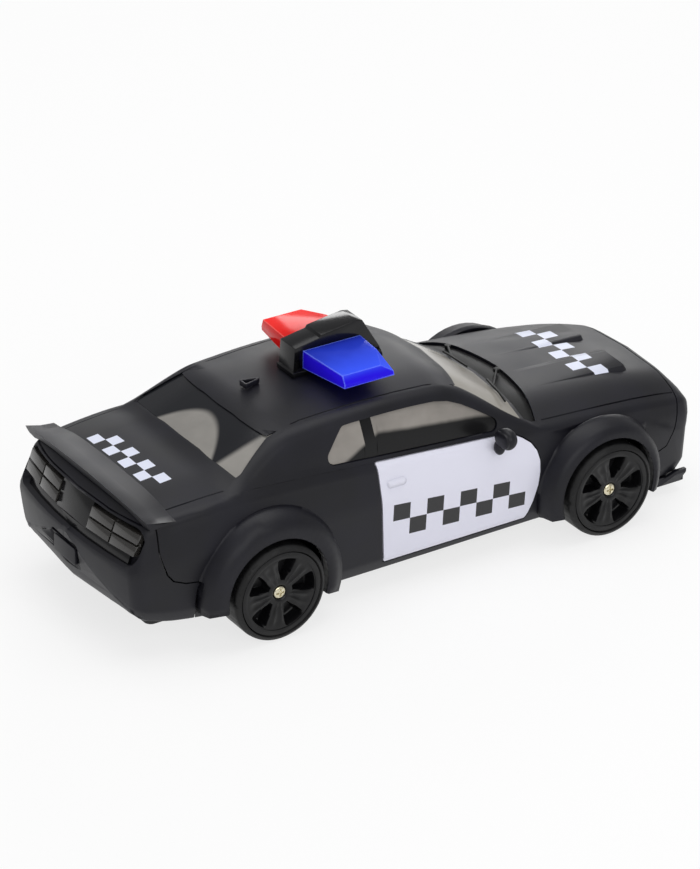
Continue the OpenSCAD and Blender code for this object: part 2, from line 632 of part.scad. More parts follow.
// Nose bumper with its intake, lamp band and splitter
band_low_z = 26.5;
band_top_z = 38.5;
band_y_share = 0.7551;
band_y = hw * band_y_share;
band_depth = 3.4;
band_r = 5;
intake_y_share = 0.4898;
intake_y = hw * intake_y_share;
intake_low_z = 10.5;
intake_top_z = 20;
intake_depth = 3;
intake_bar = 1.4;
side_intake_w = 5;
side_intake_y_share = 0.6327;
side_intake_y = hw * side_intake_y_share;
intake_pitch = (intake_top_z - intake_low_z) / 3;
split_z = 4.6;
split_t = 2;
split_out = 2.2;
split_y_share = 0.8776;
split_y = hw * split_y_share;
split_back_x = 113;
fence_h = 7.5;
fence_t = 1.6;
fence_l = 10;
fence_back_share = 0.86;
module splitter() {
  translate([0, 0, split_z]) linear_extrude(split_t)
    polygon(concat([for (i = [-8:8]) [nose_face(split_y * i / 8, split_z) + split_out, split_y * i / 8]],
      [[split_back_x, split_y], [split_back_x, -split_y]]));
  translate([0, 0, split_z]) linear_extrude(roof_z * bottom_z_shares[5][1] + bottom_r - split_z)
    polygon(concat([for (i = [-8:8]) [nose_face(split_y * 0.9 * i / 8, split_z) - split_out,
      split_y * 0.86 * i / 8]],
      [[floor_x + clear, split_y * 0.86], [floor_x + clear, -split_y * 0.86]]));
  both_sides() translate([fit, fit, 0]) {
    x0 = nose_face(split_y, split_z);
    hull() {
      translate([split_back_x, split_y - fence_t, split_z])
        cube([x0 + split_out - fence_t - split_back_x, fence_t, split_t + fit]);
      translate([split_back_x, split_y - fence_t, split_z]) cube([fence_l, fence_t, fence_h * 0.5]);
    }
    hull() {
      translate([split_back_x, split_y - fence_t, split_z]) cube([fence_t * 2, fence_t, split_t]);
      translate([split_back_x, split_y - fence_t, split_z + fence_h * 2])
        cube([fence_t * 2, fence_t, split_t]);
    }
    hull() {
      translate([x0 - fence_l, split_y - fence_t, split_z]) cube([fence_l, fence_t, split_t]);
      translate([x0 - fence_l * 0.5 + split_out, split_y, split_z + fence_h * 0.6])
        cube([fence_l * 0.5, fence_t, fence_t]);
    }
  }
}
module front_bumper()
  color(black) difference() {
    union() {
      difference() {
        intersection() {
          lower_solid();
          nose_region(-panel_gap / 2);
        }
        hollow();
      }
      splitter();
      tabs(nose_seam_top_x - tab_l, nose_x - bumper_core + over);
    }
    intersection() {
      nose_slab(-band_y - over, band_y + over, band_low_z - over, band_top_z + over, -2 * over,
        band_depth, 10, 3);
      along_x(0, 2 * hl) pill(band_y, band_low_z, band_top_z, band_r);
    }
    along_x(nose_face(intake_y, intake_low_z) - intake_depth, hl + over)
      for (k = [-1, 0, 1])
        translate([-intake_y - k * intake_bar, intake_low_z + (k + 1) * intake_pitch])
          square([2 * (intake_y + k * intake_bar), intake_pitch - intake_bar]);
    both_sides()
      hull()
        for (k = [0, 1])
          translate([nose_face(side_intake_y, intake_low_z) - intake_depth, side_intake_y + k * side_intake_w,
            intake_low_z + intake_pitch + k * intake_bar])
            rotate([0, 90, 0]) cylinder(r = intake_pitch - intake_bar / 2, h = 6 * intake_depth, $fn = 20);
    both_sides() arch_cut(x_front);
  }

// Lamp band insert and lamps
lamp_d = 8.6;
lamp_ys_share = [0.56, 0.84];
lamp_l = 2.2;
bridge_half_share = 0.25;
insert_t = 1;
bar_h = 1;
bar_pitch = 2.2;
lamp_z = (band_low_z + band_top_z) / 2;
module grille()
  color(jet) difference() {
    intersection() {
      nose_slab(-band_y - over, band_y + over, band_low_z - over, band_top_z + over,
        band_depth - clear - 2 * insert_t, band_depth - clear, 10, 3);
      along_x(0, 2 * hl)
        pill(band_y - clear, band_low_z + clear, band_top_z - clear, band_r - clear);
    }
    for (k = [-1.5:1:1.5])
      nose_slab(-band_y * (lamp_ys_share[0] - 0.18), band_y * (lamp_ys_share[0] - 0.18), lamp_z
        + k * bar_pitch - (bar_pitch - bar_h) / 2,
        lamp_z + k * bar_pitch + (bar_pitch - bar_h) / 2, 0, band_depth - fit - insert_t, 6);
    both_sides() {
      for (q = lamp_ys_share)
        translate([nose_face(band_y * q, lamp_z) - band_depth - over, band_y * q, lamp_z])
          rotate([0, 90, 0]) cylinder(d = lamp_d + 2 * fit, h = 3 * band_depth, $fn = 40);
      lamp_bridge(fit, band_depth);
    }
  }
module lamp_bridge(d, t)
  nose_slab(band_y * lamp_ys_share[0], band_y * lamp_ys_share[1], lamp_z - lamp_d * bridge_half_share - d,
    lamp_z + lamp_d * bridge_half_share + d, band_depth - clear * 3 - lamp_l * bridge_half_share - d,
      band_depth - clear * 3 + t, 2);
module headlamp() {
  for (q = lamp_ys_share) {
    x = nose_face(band_y * q, lamp_z) - band_depth + clear * 4;
    translate([x, band_y * q, lamp_z]) rotate([0, 90, 0]) rotate_extrude($fn = 40)
      polygon([[0, 0], [lamp_d / 2, 0], [lamp_d / 2, lamp_l * 0.6], [lamp_d * 0.42, lamp_l * 0.6],
        [lamp_d * 0.4, lamp_l * 0.8],
        [lamp_d * 0.28, lamp_l * 1.05], [lamp_d * 0.14, lamp_l * 1.16], [0, lamp_l * 1.2]]);
  }
  lamp_bridge(0, 0);
}
module headlamp_left()
  color(clear_plastic) headlamp();
module headlamp_right()
  color(clear_plastic) right_side() headlamp();

// Tail bumper with the lamp recess, plate recess and lower slots
tail_low_z = 41;
tail_high_z = 56.6;
tail_y_share = 0.898;
tail_y = hw * tail_y_share;
tail_depth = 3.6;
tail_r = 5.5;
plate_w = 16.6;
plate_h = 7.4;
plate_z = 27.6;
plate_t = 1.6;
plate_margin = 2.2;
plate_r = 1.2;
plate_proud = 0.2;
slot_z = 18.5;
slot_h = 2.2;
slot_depth = 1.6;
tail_slot_shares = [[0.26, 0.46], [0.54, 0.72], [0.8, 0.9]];
pipe_d = 5;
pipe_y_share = 0.551;
pipe_y = hw * pipe_y_share;
module rear_bumper()
  color(black) difference() {
    intersection() {
      lower_solid();
      tail_region(-panel_gap / 2);
    }
    hollow();
    intersection() {
      tail_slab(-tail_y - over, tail_y + over, tail_low_z - over, tail_high_z + over, -3 * over,
        tail_depth, 12, 4);
      along_x(-2 * hl, 0) pill(tail_y, tail_low_z, tail_high_z, tail_r);
    }
    translate([-hl - over, 0, 0]) along_x(0, over + plate_proud + plate_t + fit)
      pill(plate_w / 2 + plate_margin, plate_z - plate_margin, plate_z + plate_h + plate_margin,
        plate_r * 2);
    both_sides() {
      for (q = tail_slot_shares)
        hull()
          for (k = q)
            translate([tail_face(hw * k, slot_z) + slot_depth, hw * k, slot_z]) rotate([0, -90, 0])
              cylinder(d = slot_h, h = 4 * slot_depth, $fn = 16);
      hull()
        for (k = [-1, 1])
          translate([tail_face(pipe_y, slot_z) + 2 * slot_depth, pipe_y + k * pipe_d / 2,
            slot_z - slot_h * 1.6])
            rotate([0, -90, 0]) cylinder(d = pipe_d * 0.6, h = 6 * slot_depth, $fn = 16);
      arch_cut(x_rear);
    }
  }
module number_plate()
  color(black) along_x(-hl + plate_proud, -hl + plate_proud + plate_t)
    pill(plate_w / 2, plate_z, plate_z + plate_h, plate_r);
tail_lens_in_share = 0.2449;
tail_lens_in = hw * tail_lens_in_share;
tail_lens_out_share = 0.8571;
tail_lens_out = hw * tail_lens_out_share;
tail_lens_low = 46;
tail_lens_top = 54.6;
tail_lens_proud = 1.9;
tail_lens_back = 1;
tail_split = 0.8;
module tail_lens() {
  ym = (tail_lens_in + tail_lens_out) / 2;
  zm = (tail_lens_low + tail_lens_top) / 2;
  d1 = tail_depth - clear;
  tail_slab(tail_lens_in, tail_lens_out, tail_lens_low, tail_lens_top, d1 - tail_lens_back, d1);
  for (y = [[tail_lens_in, ym - tail_split / 2], [ym + tail_split / 2, tail_lens_out]])
    for (z = [[tail_lens_low, zm - tail_split / 2], [zm + tail_split / 2, tail_lens_top]])
      tail_slab(y[0], y[1], z[0], z[1], d1 - tail_lens_back - tail_lens_proud, d1 - tail_lens_back + fit,
        3);
}
module tail_lens_left()
  color(smoke) tail_lens();
module tail_lens_right()
  color(smoke) mirror([0, 1, 0]) tail_lens();
ledge_top = 45;
module tail_panel()
  color(jet) {
    tail_slab(-tail_lens_in + clear, tail_lens_in - clear, ledge_top - fit, tail_high_z - clear,
      tail_depth - clear - 2 * tail_lens_back, tail_depth - clear);
    tail_slab(-tail_y + tail_r, tail_y - tail_r, tail_low_z + clear, ledge_top,
      tail_depth - clear - tail_lens_back, tail_depth - clear);
  }

// Boot lip, its ends drawn out to points
lip_front_x_share = -0.8357;
lip_front_x = hl * lip_front_x_share;
lip_y_share = 0.9694;
lip_y = hw * lip_y_share;
lip_t = 1.2;
lip_bow = 2;
lip_tail_x_share = -0.9393;
lip_tail_x = hl * lip_tail_x_share;
lip_lift = 0.25;
function boot_z(x, y) = top_z(lower_half(max(x, tail_x + end_r)), min(abs(y),
  belt_y(x) - shoulder_r * 0.3));
lip_mid_shares = [0.5, 0.45];
function lip_ring(y) =
  let (q = abs(y) / lip_y, x0 = lip_front_x, x2 = lip_tail_x + lip_bow * q * q,
    x1 = x2 + (x0 - x2) * lip_mid_shares[0], zf = boot_z(lip_front_x, 0),
    zt = zf + lip_h - (zf - boot_z(lip_front_x, lip_y)) * q * q)
  [[x0, y, boot_z(x0, y) + lip_lift], [x1, y, boot_z(x1, y) + lip_lift],
    [x2 + lip_t, y, boot_z(x2 + lip_t, y) + lip_lift], [x2, y, zt - lip_t], [x2 - lip_t * 0.4, y, zt],
    [x1, y, boot_z(x1, y) + lip_lift + lip_h * lip_mid_shares[1]]];
module boot_lip()
  color(black) skin([for (i = [-9:9]) lip_ring(lip_y * i / 9)]);

// Panes
module windscreen()
  color([0.35, 0.37, 0.38]) intersection() {
    cabin_sheet(screen_x0 - 3 * over, screen_x1 + over, 6, glass_inset, glass_inset + glass_t,
      cabin_top_rows);
    along_x(0, 2 * hl) screen_outline(screen_x0, screen_x1, -clear / 2);
  }
module rear_window()
  color(dark_glass) intersection() {
    cabin_sheet(back_x1 - 3 * over, back_x0 + 3 * over, 6, glass_inset, glass_inset + glass_t,
      cabin_top_rows);
    along_x(-2 * hl, 0) screen_outline(back_x0, back_x1, -clear / 2);
  }
pillar_x_share = -0.1786;
pillar_x = hl * pillar_x_share;
pillar_w = 6;
pillar_lean = 4;
module side_pane() {
  intersection() {
    cabin_sheet(window_rear_x - over, window_front_x + over, 8, glass_inset, glass_inset + glass_t,
      cabin_side_rows);
    mirror([0, 1, 0]) along_y(0, window_y1) window_outline(-clear / 2);
  }
  intersection() {
    cabin_sheet(pillar_x - pillar_w * 2, pillar_x + pillar_w * 2, 4, glass_inset * 0.4, glass_inset
      + glass_t / 2, cabin_side_rows);
    mirror([0, 1, 0]) along_y(0, window_y1) intersection() {
      window_outline(-clear / 2);
      polygon([[pillar_x - pillar_w / 2, belt_z(pillar_x)], [pillar_x + pillar_w / 2, belt_z(pillar_x)],
        [pillar_x + pillar_w / 2 + pillar_lean, roof_z], [pillar_x - pillar_w / 2 + pillar_lean, roof_z]]);
    }
  }
}
module side_window_left()
  color(dark_glass) side_pane();
module side_window_right()
  color(dark_glass) mirror([0, 1, 0]) side_pane();

// Doors with a moulded handle
handle_x_share = -0.1107;
handle_x = hl * handle_x_share;
handle_z = 48;
handle_l = 9;
handle_h = 3;
handle_t = 0.9;
module door_panel() {
  intersection() {
    lower_sheet(door_rear_x - 3 * over, door_front_x + over, 6, 0, door_t, lower_side_rows);
    mirror([0, 1, 0]) along_y(0, window_y1) door_outline(-panel_gap / 2);
  }
  translate([handle_x, side_y(lower_half(handle_x), handle_z) - handle_t / 2, handle_z])
    rotate([-90, 0, 0]) linear_extrude(handle_t * 1.5) offset(r = handle_h / 2 - fit, $fn = 24)
      square([handle_l - handle_h, fit * 2], center = true);
}
module door_left()
  color(white) door_panel();
module door_right()
  color(white) mirror([0, 1, 0]) door_panel();

// Door mirrors
mirror_x_share = 0.2357;
mirror_x = hl * mirror_x_share;
mirror_z = 56.5;
mirror_w = 8;
mirror_h = 6.4;
mirror_l = 5;
mirror_stalk = 3;
mirror_out = 4.2;
module wing_mirror() {
  z0 = belt_z(mirror_x) - shoulder_r * 0.6;
  y0 = side_y(lower_half(mirror_x), z0 - mirror_stalk / 2) + clear;
  hull() {
    translate([mirror_x - mirror_l * 0.35, y0 + mirror_out, mirror_z]) scale([0.3, 1, 1])
      sphere(d = mirror_h, $fn = 14);
    translate([mirror_x - mirror_l * 0.35, y0 + mirror_out + mirror_w - mirror_h * 0.7, mirror_z])
      scale([0.3, 1, 1]) sphere(d = mirror_h, $fn = 14);
    translate([mirror_x + mirror_l * 0.5, y0 + mirror_out + mirror_w * 0.2, mirror_z - mirror_h * 0.05])
      sphere(d = mirror_h * 0.62, $fn = 14);
  }
  hull() {
    translate([mirror_x, y0, z0]) rotate([-90, 0, 0]) cylinder(d = mirror_stalk, h = fit, $fn = 20);
    translate([mirror_x, y0 + mirror_out, mirror_z - mirror_h * 0.3]) rotate([-90, 0, 0])
      cylinder(d = mirror_stalk * 0.8, h = fit, $fn = 20);
  }
}
module mirror_left()
  color(black) wing_mirror();
module mirror_right()
  color(black) mirror([0, 1, 0]) wing_mirror();

// Cowl and wipers
cowl_proud = 1.1;
module cowl()
  color(jet) intersection() {
    lower_sheet(cowl_back_x - over, cowl_front_x + cowl_bow + over, 6, cowl_proud, cowl_depth - fit,
      deck_rows);
    linear_extrude(roof_z) cowl_outline(-clear);
  }
wiper_d = 1.1;
wiper_pivots_share = [0.62, -0.12];
wiper_reach = 27;
wiper_lift = 0.9;
function screen_pt(x, y, up) = let (z = top_z(cabin_half(x), abs(y))) cabin_warp([x, y, z + up]);
module wiper(q) {
  y0 = cowl_y * q;
  x0 = cowl_front_x + cowl_bow * (1 - q * q) - wiper_d * 2.4;
  z0 = top_z(inset(lower_half(x0), cowl_proud), abs(y0));
  b = [for (i = [0:3]) screen_pt(screen_x1 - wiper_d * (2.2 + i), y0 - wiper_reach * (0.25 + i * 0.25),
    wiper_lift)];
  translate([x0, y0, z0 + clear]) cylinder(d = wiper_d * 2.4, h = wiper_d * 1.4, $fn = 20);
  line([[x0, y0, z0 + wiper_d * 1.4], b[1]], wiper_d);
  line([b[0], b[1], b[2], b[3]], wiper_d);
}
module wiper_left()
  color(jet) wiper(wiper_pivots_share[0]);
module wiper_right()
  color(jet) wiper(wiper_pivots_share[1]);

// Light bar: bridge over the roof, two lenses and the lamp board inside
bridge_mid_x = -16.5;
bridge_shares = [[-0.5, 0.12], [-0.485, 0.13], [-0.47, 0.7], [-0.2, 0.79], [-0.185, 0.85], [0.2, 1],
  [0.27, 0.98], [0.47, 0.25], [0.5, 0.06]];
bridge_lift = 0.25;
bridge_skirt = 0.5;
lens_foot = 3.2;
lens_mid_x = -19.5;
lens_outer_top_shares = [-0.38, 0.29];
lens_outer_foot_shares = [-0.37, 0.5];
lens_outer_low = 0.7;
lens_outer_h = 5.2;
lens_bevel = 1.3;
tunnel_l = 20;
tunnel_h = 2.6;
lamp_board_t = 1;
lens_z = crown_z(bridge_mid_x) + lens_foot;
lens_y = bridge_w / 2 + fit;
lamp_board_z = lens_z + lens_t + lens_outer_low + clear;
module bridge_side(n = 10)
  polygon(concat([for (i = [0:n]) let (x = bridge_mid_x + bridge_l * (i / n - 0.5)) [x, crown_z(x)
    + bridge_lift]],
    [for (i = [len(bridge_shares) - 1:-1:0]) let (x = bridge_mid_x + bridge_l * bridge_shares[i][0])
      [x, crown_z(x) + bridge_lift + bridge_h * bridge_shares[i][1]]]));
module lightbar_bridge()
  color(jet) difference() {
    union() {
      along_y(-bridge_w / 2, bridge_w / 2) bridge_side();
      along_y(-bridge_w / 2 - bridge_skirt, bridge_w / 2 + bridge_skirt) intersection() {
        bridge_side();
        translate([bridge_mid_x - bridge_l, 0])
          square([2 * bridge_l, crown_z(bridge_mid_x) + bridge_h * bridge_shares[0][1]]);
      }
    }
    translate([lens_mid_x - tunnel_l / 2 - clear, -bridge_w, lamp_board_z - clear])
      cube([tunnel_l + 2 * clear, 2 * bridge_w, tunnel_h + clear]);
  }
function lens_pts(t) =
  let (y0 = lens_y, y1 = lens_y + lens_reach - t, xb = lens_mid_x - lens_l / 2 + t, xf = lens_mid_x
    + lens_l / 2 - t,
    z0 = lens_z + t, z1 = lens_z + lens_h - t, zo = lens_z + lens_outer_low + t, zt = lens_z
      + lens_outer_low + lens_outer_h - t)
  [[xb, y0, z0], [xf + lens_bevel * 2, y0, z0], [xf, y0, z1], [xb, y0, z1],
    [lens_mid_x + lens_l * lens_outer_foot_shares[0] + t, y1, zo], [lens_mid_x
      + lens_l * lens_outer_foot_shares[1] - t, y1, zo],
    [lens_mid_x + lens_l * lens_outer_top_shares[1] - t, y1 - lens_bevel, zt], [lens_mid_x
      + lens_l * lens_outer_top_shares[0] + t, y1 - lens_bevel, zt],
    [lens_mid_x + lens_l * lens_outer_foot_shares[1] - t, y1 - lens_bevel * 0.4, zo + (zt - zo) * 0.3],
    [lens_mid_x + lens_l * lens_outer_foot_shares[0] + t, y1 + lens_bevel * 0.2, zo + (zt - zo) * 0.3],
    [xf + lens_bevel * 1.6, (y0 + y1) * 0.6, z0 + (zo - z0) * 0.6], [xf - lens_bevel * 0.2, (y0
      + y1) * 0.5, z1 + (zt - z1) * 0.5]];
module point_hull(p)
  hull()
    for (q = p)
      translate(q) cube(fit, center = true);
module bar_lens()
  difference() {
    point_hull(lens_pts(0));
    point_hull([for (q = lens_pts(lens_t)) q.y < lens_y + fit ? q - [0, over, 0] : q]);
  }
module lens_red()
  color([0.86, 0.09, 0.08]) bar_lens();
module lens_blue()
  color([0.1, 0.14, 0.75]) mirror([0, 1, 0]) bar_lens();
lamp_dome_d = 3;
lamp_board_y = lens_y + lens_reach * 0.62;
module lamp_board()
  color(board_green) {
    translate([lens_mid_x - tunnel_l / 2, -lamp_board_y, lamp_board_z])
      cube([tunnel_l, 2 * lamp_board_y, lamp_board_t]);
    for (sy = [-1, 1], k = [-0.28, 0.2])
      translate([lens_mid_x + k * tunnel_l, sy * (lens_y + lens_reach * 0.42), lamp_board_z
        + lamp_board_t - fit])
        rotate_extrude($fn = 24)
          polygon([[0, 0], [lamp_dome_d / 2, 0], [lamp_dome_d / 2, lamp_dome_d * 0.25],
            [lamp_dome_d * 0.4, lamp_dome_d * 0.5],
            [lamp_dome_d * 0.22, lamp_dome_d * 0.62], [0, lamp_dome_d * 0.66]]);
  }

// Aerial rim on the rear of the roof
aerial_x = -54;
aerial_l = 8;
aerial_w = 5;
aerial_h = 2.2;
aerial_t = 1;
module aerial()
  color(jet)
    translate([aerial_x, 0, top_z(cabin_half(aerial_x + aerial_l / 2), 0) + fit])
      linear_extrude(aerial_h) difference() {
        offset(r = aerial_t, $fn = 24)
          polygon([[-aerial_l / 2 + aerial_t, -aerial_w / 2 + aerial_t], [aerial_l / 2 - aerial_t, 0],
            [-aerial_l / 2 + aerial_t, aerial_w / 2 - aerial_t]]);
        polygon([[-aerial_l / 2 + aerial_t, -aerial_w / 2 + aerial_t], [aerial_l / 2 - aerial_t, 0],
          [-aerial_l / 2 + aerial_t, aerial_w / 2 - aerial_t]]);
      }

// Wheels: the rim is drawn about its own axis, outer face at the top
spokes = 5;
rim_turn = -26;
lip_w = 2.2;
rim_well = 1.5;
hub_d = 9;
hub_sink = 2.4;
rim_back_t = 1.2;
disc_t = 2.6;
rim_in = 1.5;
rib_w = 0.9;
rib_h = 0.9;
bore_d = axle_d + 2 * run_fit;
wheel_y = track_w / 2;
wheel_mid_y = wheel_y - tyre_w / 2;
rim_l = tyre_w - 2 * rim_in;
kingpin_y = wheel_mid_y - kingpin_in;
knuckle_out = 3.4;
hub_l = wheel_y - kingpin_y - knuckle_out - clear;
module rim() {
  r1 = rim_r - fit;
  r0 = r1 - lip_w;
  zt = -rim_in * 0.3;
  difference() {
    union() {
      rotate_extrude($fn = 96)
        polygon([[r0, zt - lip_w], [r0, zt], [r1, zt], [r1, -rim_in - rim_l], [r1 - rim_well,
          -rim_in - rim_l], [r1 - rim_well, zt - lip_w * 2]]);
      rotate_extrude($fn = 96)
        polygon([[0, -hub_sink - disc_t], [0, -hub_sink], [hub_d / 2, -hub_sink], [r0 + fit,
          zt - lip_w * 0.4], [r0 + fit, zt - lip_w * 0.4 - disc_t],
          [hub_d / 2, -hub_sink - disc_t]]);
      translate([0, 0, -hub_sink - 2 * disc_t - rim_back_t])
        cylinder(r = r1 - rim_well + fit, h = rim_back_t - fit, $fn = 96);
      translate([0, 0, -hub_l]) cylinder(d = hub_d * 0.9, h = hub_l - hub_sink - fit, $fn = 48);
      for (k = [0:spokes - 1], e = [-1, 1])
        rotate([0, 0, k * 360 / spokes + e * 9]) translate([0, rib_w / 2, 0]) rotate([90, 0, 0])
          linear_extrude(rib_w)
            polygon([[hub_d * 0.36, -hub_sink - fit], [hub_d * 0.4, -hub_sink + rib_h * 0.5], [r0 * 0.62,
              (zt - lip_w * 0.4 - hub_sink) / 2 + rib_h],
              [r0 + fit, zt - lip_w * 0.2], [r0 + fit, zt - lip_w]]);
    }
    for (k = [0:spokes - 1])
      rotate([0, 0, (k + 0.5) * 360 / spokes]) translate([0, 0, -hub_sink - disc_t * 2])
        linear_extrude(disc_t * 4) offset(r = rib_w, $fn = 24)
          polygon([[hub_d * 0.5 + rib_w * 2, -rib_w * 0.9], [r0 * 0.72, -r0 * 0.2], [r0 - rib_w * 2,
            -r0 * 0.26], [r0 - rib_w, 0],
            [r0 - rib_w * 2, r0 * 0.2], [r0 * 0.7, r0 * 0.14], [hub_d * 0.5 + rib_w * 2, rib_w * 0.6]]);
    translate([0, 0, -tyre_w]) cylinder(d = bore_d, h = tyre_w + over, $fn = 48);
    translate([0, 0, -hub_sink - head_sink])
      cylinder(d = screw_head_d + 2 * clear, h = tyre_w, $fn = 48);
  }
}
head_sink = 0.8;
tyre_round = 2.2;
tyre_line = 0.4;
module tyre() {
  r0 = rim_r;
  r1 = tyre_d / 2;
  rotate_extrude($fn = 96)
    polygon([[r0, -rim_in * 0.6], [r0 + tyre_line * 2, 0], [r1 - tyre_round, 0], [r1 - tyre_round * 0.45,
      -tyre_round * 0.2],
      [r1 - tyre_round * 0.12, -tyre_round * 0.6], [r1, -tyre_round * 1.3], [r1, -tyre_w + tyre_round],
        [r1 - tyre_round * 0.4, -tyre_w + tyre_round * 0.2],
      [r1 - tyre_round, -tyre_w], [r0 + tyre_line * 2, -tyre_w], [r0, -tyre_w + rim_in]]);
}
head_h = 1.4;
shank_l = 7;
cross_w = 0.8;
module cross(d, h)
  for (a = [0, 90])
    rotate([0, 0, a]) translate([-d * 0.3, -cross_w / 2, h * 0.4]) cube([d * 0.6, cross_w, h]);
module wheel_screw()
  translate([0, 0, -hub_sink - head_sink + clear]) {
    difference() {
      rotate_extrude($fn = 48)
        polygon([[0, 0], [screw_head_d / 2, 0], [screw_head_d / 2, head_h * 0.5], [screw_head_d * 0.42,
          head_h * 0.8], [screw_head_d * 0.28, head_h], [0, head_h]]);
      cross(screw_head_d, head_h);
    }
    translate([0, 0, -shank_l]) cylinder(d = screw_d, h = shank_l + fit, $fn = 32);
  }
module at_wheel(x, s)
  translate([x, s * wheel_y, axle_z]) rotate([s * -90, 0, 0]) children();
module rim_of(x, s)
  color(black) at_wheel(x, s) rotate([0, 0, s * -rim_turn]) rim();
module tyre_of(x, s)
  color(jet) at_wheel(x, s) tyre();
module rim_front_left() rim_of(x_front, 1);
module rim_front_right() rim_of(x_front, -1);
module rim_rear_left() rim_of(x_rear, 1);
module rim_rear_right() rim_of(x_rear, -1);
module tyre_front_left() tyre_of(x_front, 1);
module tyre_front_right() tyre_of(x_front, -1);
module tyre_rear_left() tyre_of(x_rear, 1);
module tyre_rear_right() tyre_of(x_rear, -1);
module screw_front_left()
  color(gilt) at_wheel(x_front, 1) wheel_screw();
module screw_front_right()
  color(gilt) at_wheel(x_front, -1) wheel_screw();
module screws_rear()
  color(gilt)
    for (e = [-1, 1])
      at_wheel(x_rear, e) wheel_screw();

// Rear axle, gears and motor
teeth_axle = 32;
teeth_idler_small = 12;
teeth_idler_big = 30;
teeth_pinion = 10;
press_angle = 25;
backlash = 0.16;
mesh_gap = 0.05;
gear_y = 9;
addendum_share = 0.9;
dedendum_share = 1.25;
idler_x = x_rear + gear_m * (teeth_axle + teeth_idler_small) / 2 + mesh_gap;
motor_x = idler_x + gear_m * (teeth_idler_big + teeth_pinion) / 2 + mesh_gap;
function roll(r, rb) = sqrt(max(0, pow(r / rb, 2) - 1));
function involute(r, rb) = roll(r, rb) * 180 / PI - atan(roll(r, rb));
function flank(n, r) =
  let (rp = gear_m * n / 2, rb = rp * cos(press_angle))
  90 / n - backlash / (4 * rp) * 180 / PI + involute(rp, rb) - involute(max(r, rb), rb);
module gear(n, w, d) {
  rp = gear_m * n / 2;
  ra = rp + gear_m * addendum_share;
  rf = rp - gear_m * dedendum_share;
  rb = max(rf, rp * cos(press_angle));
  rs = [rf, rb + fit * 0.1, (rb + ra) / 2, ra];
  linear_extrude(w) difference() {
    polygon([for (k = [0:n - 1], j = [0:7]) let (r = rs[j < 4 ? j : 7 - j], a = k * 360 / n + (j < 4
      ? -1 : 1) * flank(n, r))
      r * [cos(a), sin(a)]]);
    circle(d = d, $fn = 32);
  }
}
module across(x, y, turn = 0)
  translate([x, y, axle_z]) rotate([90, 0, 0]) rotate([0, 0, turn]) children();
axle_tip = hub_sink + head_sink + fit;
axle_l = 2 * (wheel_y - axle_tip);
axle_hole_l = shank_l + over;
module rear_axle()
  color(steel) difference() {
    across(x_rear, axle_l / 2) cylinder(d = axle_d, h = axle_l, $fn = 48);
    for (e = [-1, 1])
      translate([x_rear, e * (axle_l / 2 + over), axle_z]) rotate([e * 90, 0, 0])
        cylinder(d = pilot_d, h = axle_hole_l + over, $fn = 32);
  }
module axle_gear()
  color(nylon) across(x_rear, gear_y + gear_w) gear(teeth_axle, gear_w, bore_d);
module idler_gear()
  color(nylon) difference() {
    union() {
      across(idler_x, gear_y + gear_w, 180 / teeth_idler_small)
        gear(teeth_idler_small, gear_w, pin_d);
      across(idler_x, gear_y + 2 * gear_w + clear) gear(teeth_idler_big, gear_w, pin_d);
      across(idler_x, gear_y + gear_w + clear + fit)
        cylinder(d = gear_m * (teeth_idler_small - 3), h = clear + 2 * fit, $fn = 32);
    }
    across(idler_x, gear_y + 3 * gear_w)
      cylinder(d = pin_d + 2 * run_fit, h = 4 * gear_w, $fn = 32);
  }
module pinion()
  color(brass) {
    across(motor_x, gear_y + 2 * gear_w + clear, 180 / teeth_pinion)
      gear(teeth_pinion, gear_w, pin_d - fit);
    across(motor_x, gear_y + 2 * gear_w + clear)
      cylinder(d = pin_d, h = gear_w * 2 + clear + case_y1_gap + motor_shaft_in, $fn = 32);
  }
case_y1_gap = 1;
motor_shaft_in = 8;
case_y0 = gear_y - case_y1_gap - case_t;
case_y1 = gear_y + 2 * gear_w + clear + case_y1_gap;
case_x0 = x_rear - gear_m * teeth_axle / 2 - 2 * case_t;
case_x1 = motor_x + gear_m * teeth_pinion / 2 + 2 * case_t;
case_top_z = axle_z + gear_m * (teeth_axle / 2 + 1) + case_t / 2;
module gear_case()
  color(grey) difference() {
    translate([case_x0, case_y0, floor_top + fit])
      cube([case_x1 - case_x0, case_y1 + case_t - case_y0, case_top_z - floor_top - fit]);
    translate([case_x0 + case_t, case_y0 + case_t, floor_top + fit + case_t / 2])
      cube([case_x1 - case_x0 - 2 * case_t, case_y1 - case_y0 - case_t, case_top_z]);
    across(x_rear, case_y1 + 2 * case_t)
      cylinder(d = bore_d, h = case_y1 - case_y0 + 4 * case_t, $fn = 48);
    across(idler_x, case_y1 + case_t * 0.6)
      cylinder(d = pin_d + 2 * run_fit, h = case_y1 - case_y0 + case_t * 0.2, $fn = 32);
    across(motor_x, case_y0 + case_t + over)
      cylinder(d = motor_boss_d + 2 * clear, h = case_t + 2 * over, $fn = 48);
  }
module gear_lid()
  color(grey) translate([case_x0, case_y0, case_top_z + fit]) difference() {
    cube([case_x1 - case_x0, case_y1 + case_t - case_y0, case_t]);
    for (k = [-1, 1])
      translate([(case_x1 - case_x0) * (0.5 + k * 0.28), (case_y1 + case_t - case_y0) / 2, case_t * 0.5])
        cube([case_t * 4, (case_y1 - case_y0) * 0.6, case_t * 2], center = false);
  }
module idler_pin()
  color(steel) across(idler_x, case_y1 + case_t * 0.6 - fit)
    cylinder(d = pin_d, h = case_y1 - case_y0 + case_t * 0.2 - 2 * fit, $fn = 32);
motor_flat_share = 0.77;
motor_boss_d = 6;
motor_boss_h = 1.2;
motor_y = case_y0 - fit;
